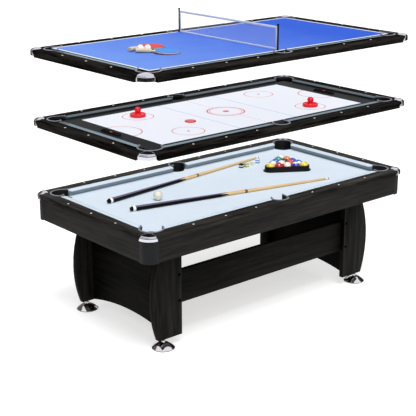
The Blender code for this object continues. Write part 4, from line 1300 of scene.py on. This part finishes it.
cue_profile = [(0, -bumper), (0.0092, -bumper), (0.0106, -bumper + 0.0008),
               (0.0110, -bumper + 0.0022), (0.0110, 0), (cue_butt - 0.0008, 0), (cue_butt, 0.0008)]
cue_profile += [(taper(at), at) for at in (0.20, 0.60, 1.00, 1.30, cue_length - bumper - 0.003)]
cue_profile += [(0.0056, cue_length - bumper - 0.0012), (0.0036, cue_length - bumper - 0.0003),
                (0, cue_length - bumper)]
cue_lean = math.atan((cue_butt - cue_tip) / cue_length)
for name, x, y, turn, paint_share in (("far", -0.075, 0.264, 7, 0.450),
                                      ("near", -0.073, -0.180, -12, 0.440)):
    place = (Matrix.Translation((x, y, bed_top + gap + (cue_butt + cue_tip) / 2))
             @ Matrix.Rotation(math.radians(turn), 4, "Z")
             @ Matrix.Rotation(math.pi / 2 + cue_lean, 4, "Y")
             @ Matrix.Translation((0, 0, -cue_length / 2)))
    cue = piece(f"{name}_cue", turned(cue_profile, 32),
                cue_finish(f"{name}_cue_finish", paint_share))
    mount(lay(cue, place), f"cue_{name}", "maple", f"cue_{name}")


# The balls: cast and polished resin, a plain cue ball and fifteen coloured ones. The
# fifteen are one mesh that carries each ball's paint, stripe and own direction.
ivory = grained("ivory_resin", ("#e9e4d2", "#f7f3e6"), (70, 4), (0.18, 0), Coat_Weight=1.0,
                Coat_Roughness=0.03)
low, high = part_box("cue_ball")
cue_ball = piece("white_cue_ball", ball((high.z - low.z) / 2, 0, 0, 0), ivory, 180)
mount(stand(cue_ball, "cue_ball"), "cue_ball", "ivory_resin", "cue_ball")

paints = {"yellow": "#f6d91a", "blue": "#1d62dc", "red": "#e2301f", "purple": "#3a33b4",
          "orange": "#f07c28", "green": "#179a80", "maroon": "#bc142b", "black": "#101010"}
rows = (("yellow striped", "maroon", "red striped", "purple striped", "yellow"),
        ("green striped", "maroon striped", "red", "blue striped"),
        ("blue", "black", "purple"), ("green", "orange"), ("orange striped",))
ball_radius, ball_clear = 0.0286, 0.0001
rack_share, rack_turn = (0.555, 0.001), math.radians(-32.4)
rack_place = (Matrix.Translation((rack_share[0] * rail_x, rack_share[1] * rail_y, bed_top + gap))
              @ Matrix.Rotation(rack_turn, 4, "Z"))
rack_shape = bmesh.new()
paint = rack_shape.verts.layers.float_color.new("paint")
striped = rack_shape.verts.layers.float.new("striped")
facing = rack_shape.verts.layers.float_vector.new("local")
for row, names in enumerate(rows):
    for seat, name in enumerate(names):
        middle = Vector((2 * seat + row - 4, row * math.sqrt(3), 1)) * ball_radius
        rolled = (Matrix.Rotation(0.9 + 2.4 * seat + 1.7 * row, 3, "Z")
                  @ Matrix.Rotation(0.7 + 1.3 * row + 0.9 * seat, 3, "X"))
        made = bmesh.ops.create_uvsphere(rack_shape, u_segments=40, v_segments=20,
                                         radius=ball_radius - ball_clear)["verts"]
        for vert in made:
            vert[facing] = rolled @ vert.co.normalized()
            vert[paint] = (*tint(paints[name.split()[0]]), 1)
            vert[striped] = float("striped" in name)
            vert.co += middle
bmesh.ops.transform(rack_shape, verts=rack_shape.verts, matrix=rack_place)
painted_resin = Finish("painted_resin", {"Coat Weight": 1.0, "Coat Roughness": 0.03,
                                         "Roughness": 0.18})
x, y, z = painted_resin.axes(painted_resin.own())
white = painted_resin.node("ShaderNodeAttribute", {"attribute_name": "striped"}, out="Fac")
white = (white * abs(z).above(0.60, 0.01)).most(x.above(0.955, 0.01))
paint = painted_resin.node("ShaderNodeAttribute", {"attribute_name": "paint"}, out="Color")
cream = painted_resin.mix(painted_resin.noise(70, 4),
                          "#efe9da", "#faf7ee")
painted_resin.set({"Base Color": painted_resin.mix(white, paint, cream)})
mount(piece("racked_balls", rack_shape, painted_resin, 180), "rack", "ivory_resin")


# The rack: one triangle moulded in black plastic with a small foot flange all round, set
# down round the balls. Its wall is lower than the solid's, as the balls stand above it.
rack = fair_copy("ball_rack", "triangle_rack", black_plastic, "black_plastic", 0.0006)
flange_top, lowered = bed_top + 0.020, 0.007
for vert in rack.data.vertices:
    if vert.co.z > flange_top:
        vert.co.z -= lowered


# The chalks: four pressed cubes of chalk in paper wraps, each with a dish worn into its
# upper face, left on the cloth beside the rack.
def chalk(name, x, y, turn, paper, face):
    half, dish = 0.0130, 0.0026
    low, top = bed_top + gap, bed_top + gap + 2 * half
    layers = [(half - 0.0005, low), (half, low + 0.0005), (half, top - 0.0005),
              (half - 0.0005, top), (0.0108, top - 0.0001), (0.0086, top - dish * 0.6),
              (0.0050, top - dish)]
    shape = skin([[(sx * size, sy * size, z) for sx, sy in square] for size, z in layers])
    finish = Finish(name + "_finish", {"Specular IOR Level": 0.2})
    height = finish.axes()[2]
    dust = finish.noise(500, 4)
    wrap = finish.mix(height.band(low + half, 0.0045), paper, "#f2f1ea")
    wrap = finish.mix(dust * 0.25, wrap, face)
    finish.set({"Base Color": finish.mix(height.above(top - 0.0032), wrap, face),
                "Roughness": 0.72 + dust * 0.2})
    finish.bump(dust, 0.3)
    cube = piece(name, shape, finish)
    cube.data.transform(Matrix.Translation((x, y, 0)) @ Matrix.Rotation(turn, 4, "Z"))
    mount(cube, "table", "blue_rubber")


chalk("black_chalk", 0.363, 0.250, 0.30, "#17181b", "#1f2226")
chalk("green_chalk", 0.402, 0.240, -0.20, "#a9b23a", "#c9cf7c")
chalk("white_chalk", 0.466, 0.249, 0.10, "#e9e9e4", "#f1f1ee")
chalk("blue_chalk", 0.524, 0.265, 0.50, "#3f7fc4", "#dfe8f2")


# The lamps: each top was lit on its own, so each has three soft suns of its own, which
# light and are shaded by that top's pieces only. The chrome mirrors the room instead.
# Each sun: its name, where it stands, its strength and its softness in degrees.
suns = (("window", (-0.15, -0.34, 0.90), 0.54, 26), ("ceiling", (-0.02, -0.14, 1.0), 0.38, 100),
        ("front", (-0.45, -0.75, 0.40), 0.08, 50))
floors = {"pool": 0.0, "hockey": 1.0, "tennis": 1.5}
for level, floor_height in floors.items():
    above = [height for height in floors.values() if height > floor_height] + [math.inf]
    lit = bpy.data.collections.new(level + "_lit")
    shading = bpy.data.collections.new(level + "_shading")
    for thing in scene.collection.all_objects:
        if thing.type != "MESH":
            continue
        if floor_height <= max(vert.co.z for vert in thing.data.vertices) + 0.01 < above[0]:
            shading.objects.link(thing)
            if "chrome" not in thing.active_material.name:
                lit.objects.link(thing)
    for name, toward, strength, softness in suns:
        lamp = bpy.data.lights.new(f"{level}_{name}", "SUN")
        lamp.angle = math.radians(softness)
        lamp.energy = strength * math.pi / Vector(toward).normalized().z
        sun = bpy.data.objects.new(f"{level}_{name}", lamp)
        sun.rotation_euler = Vector(toward).to_track_quat("Z", "Y").to_euler()
        sun.light_linking.receiver_collection = lit
        sun.light_linking.blocker_collection = shading
        scene.collection.objects.link(sun)

low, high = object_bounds()
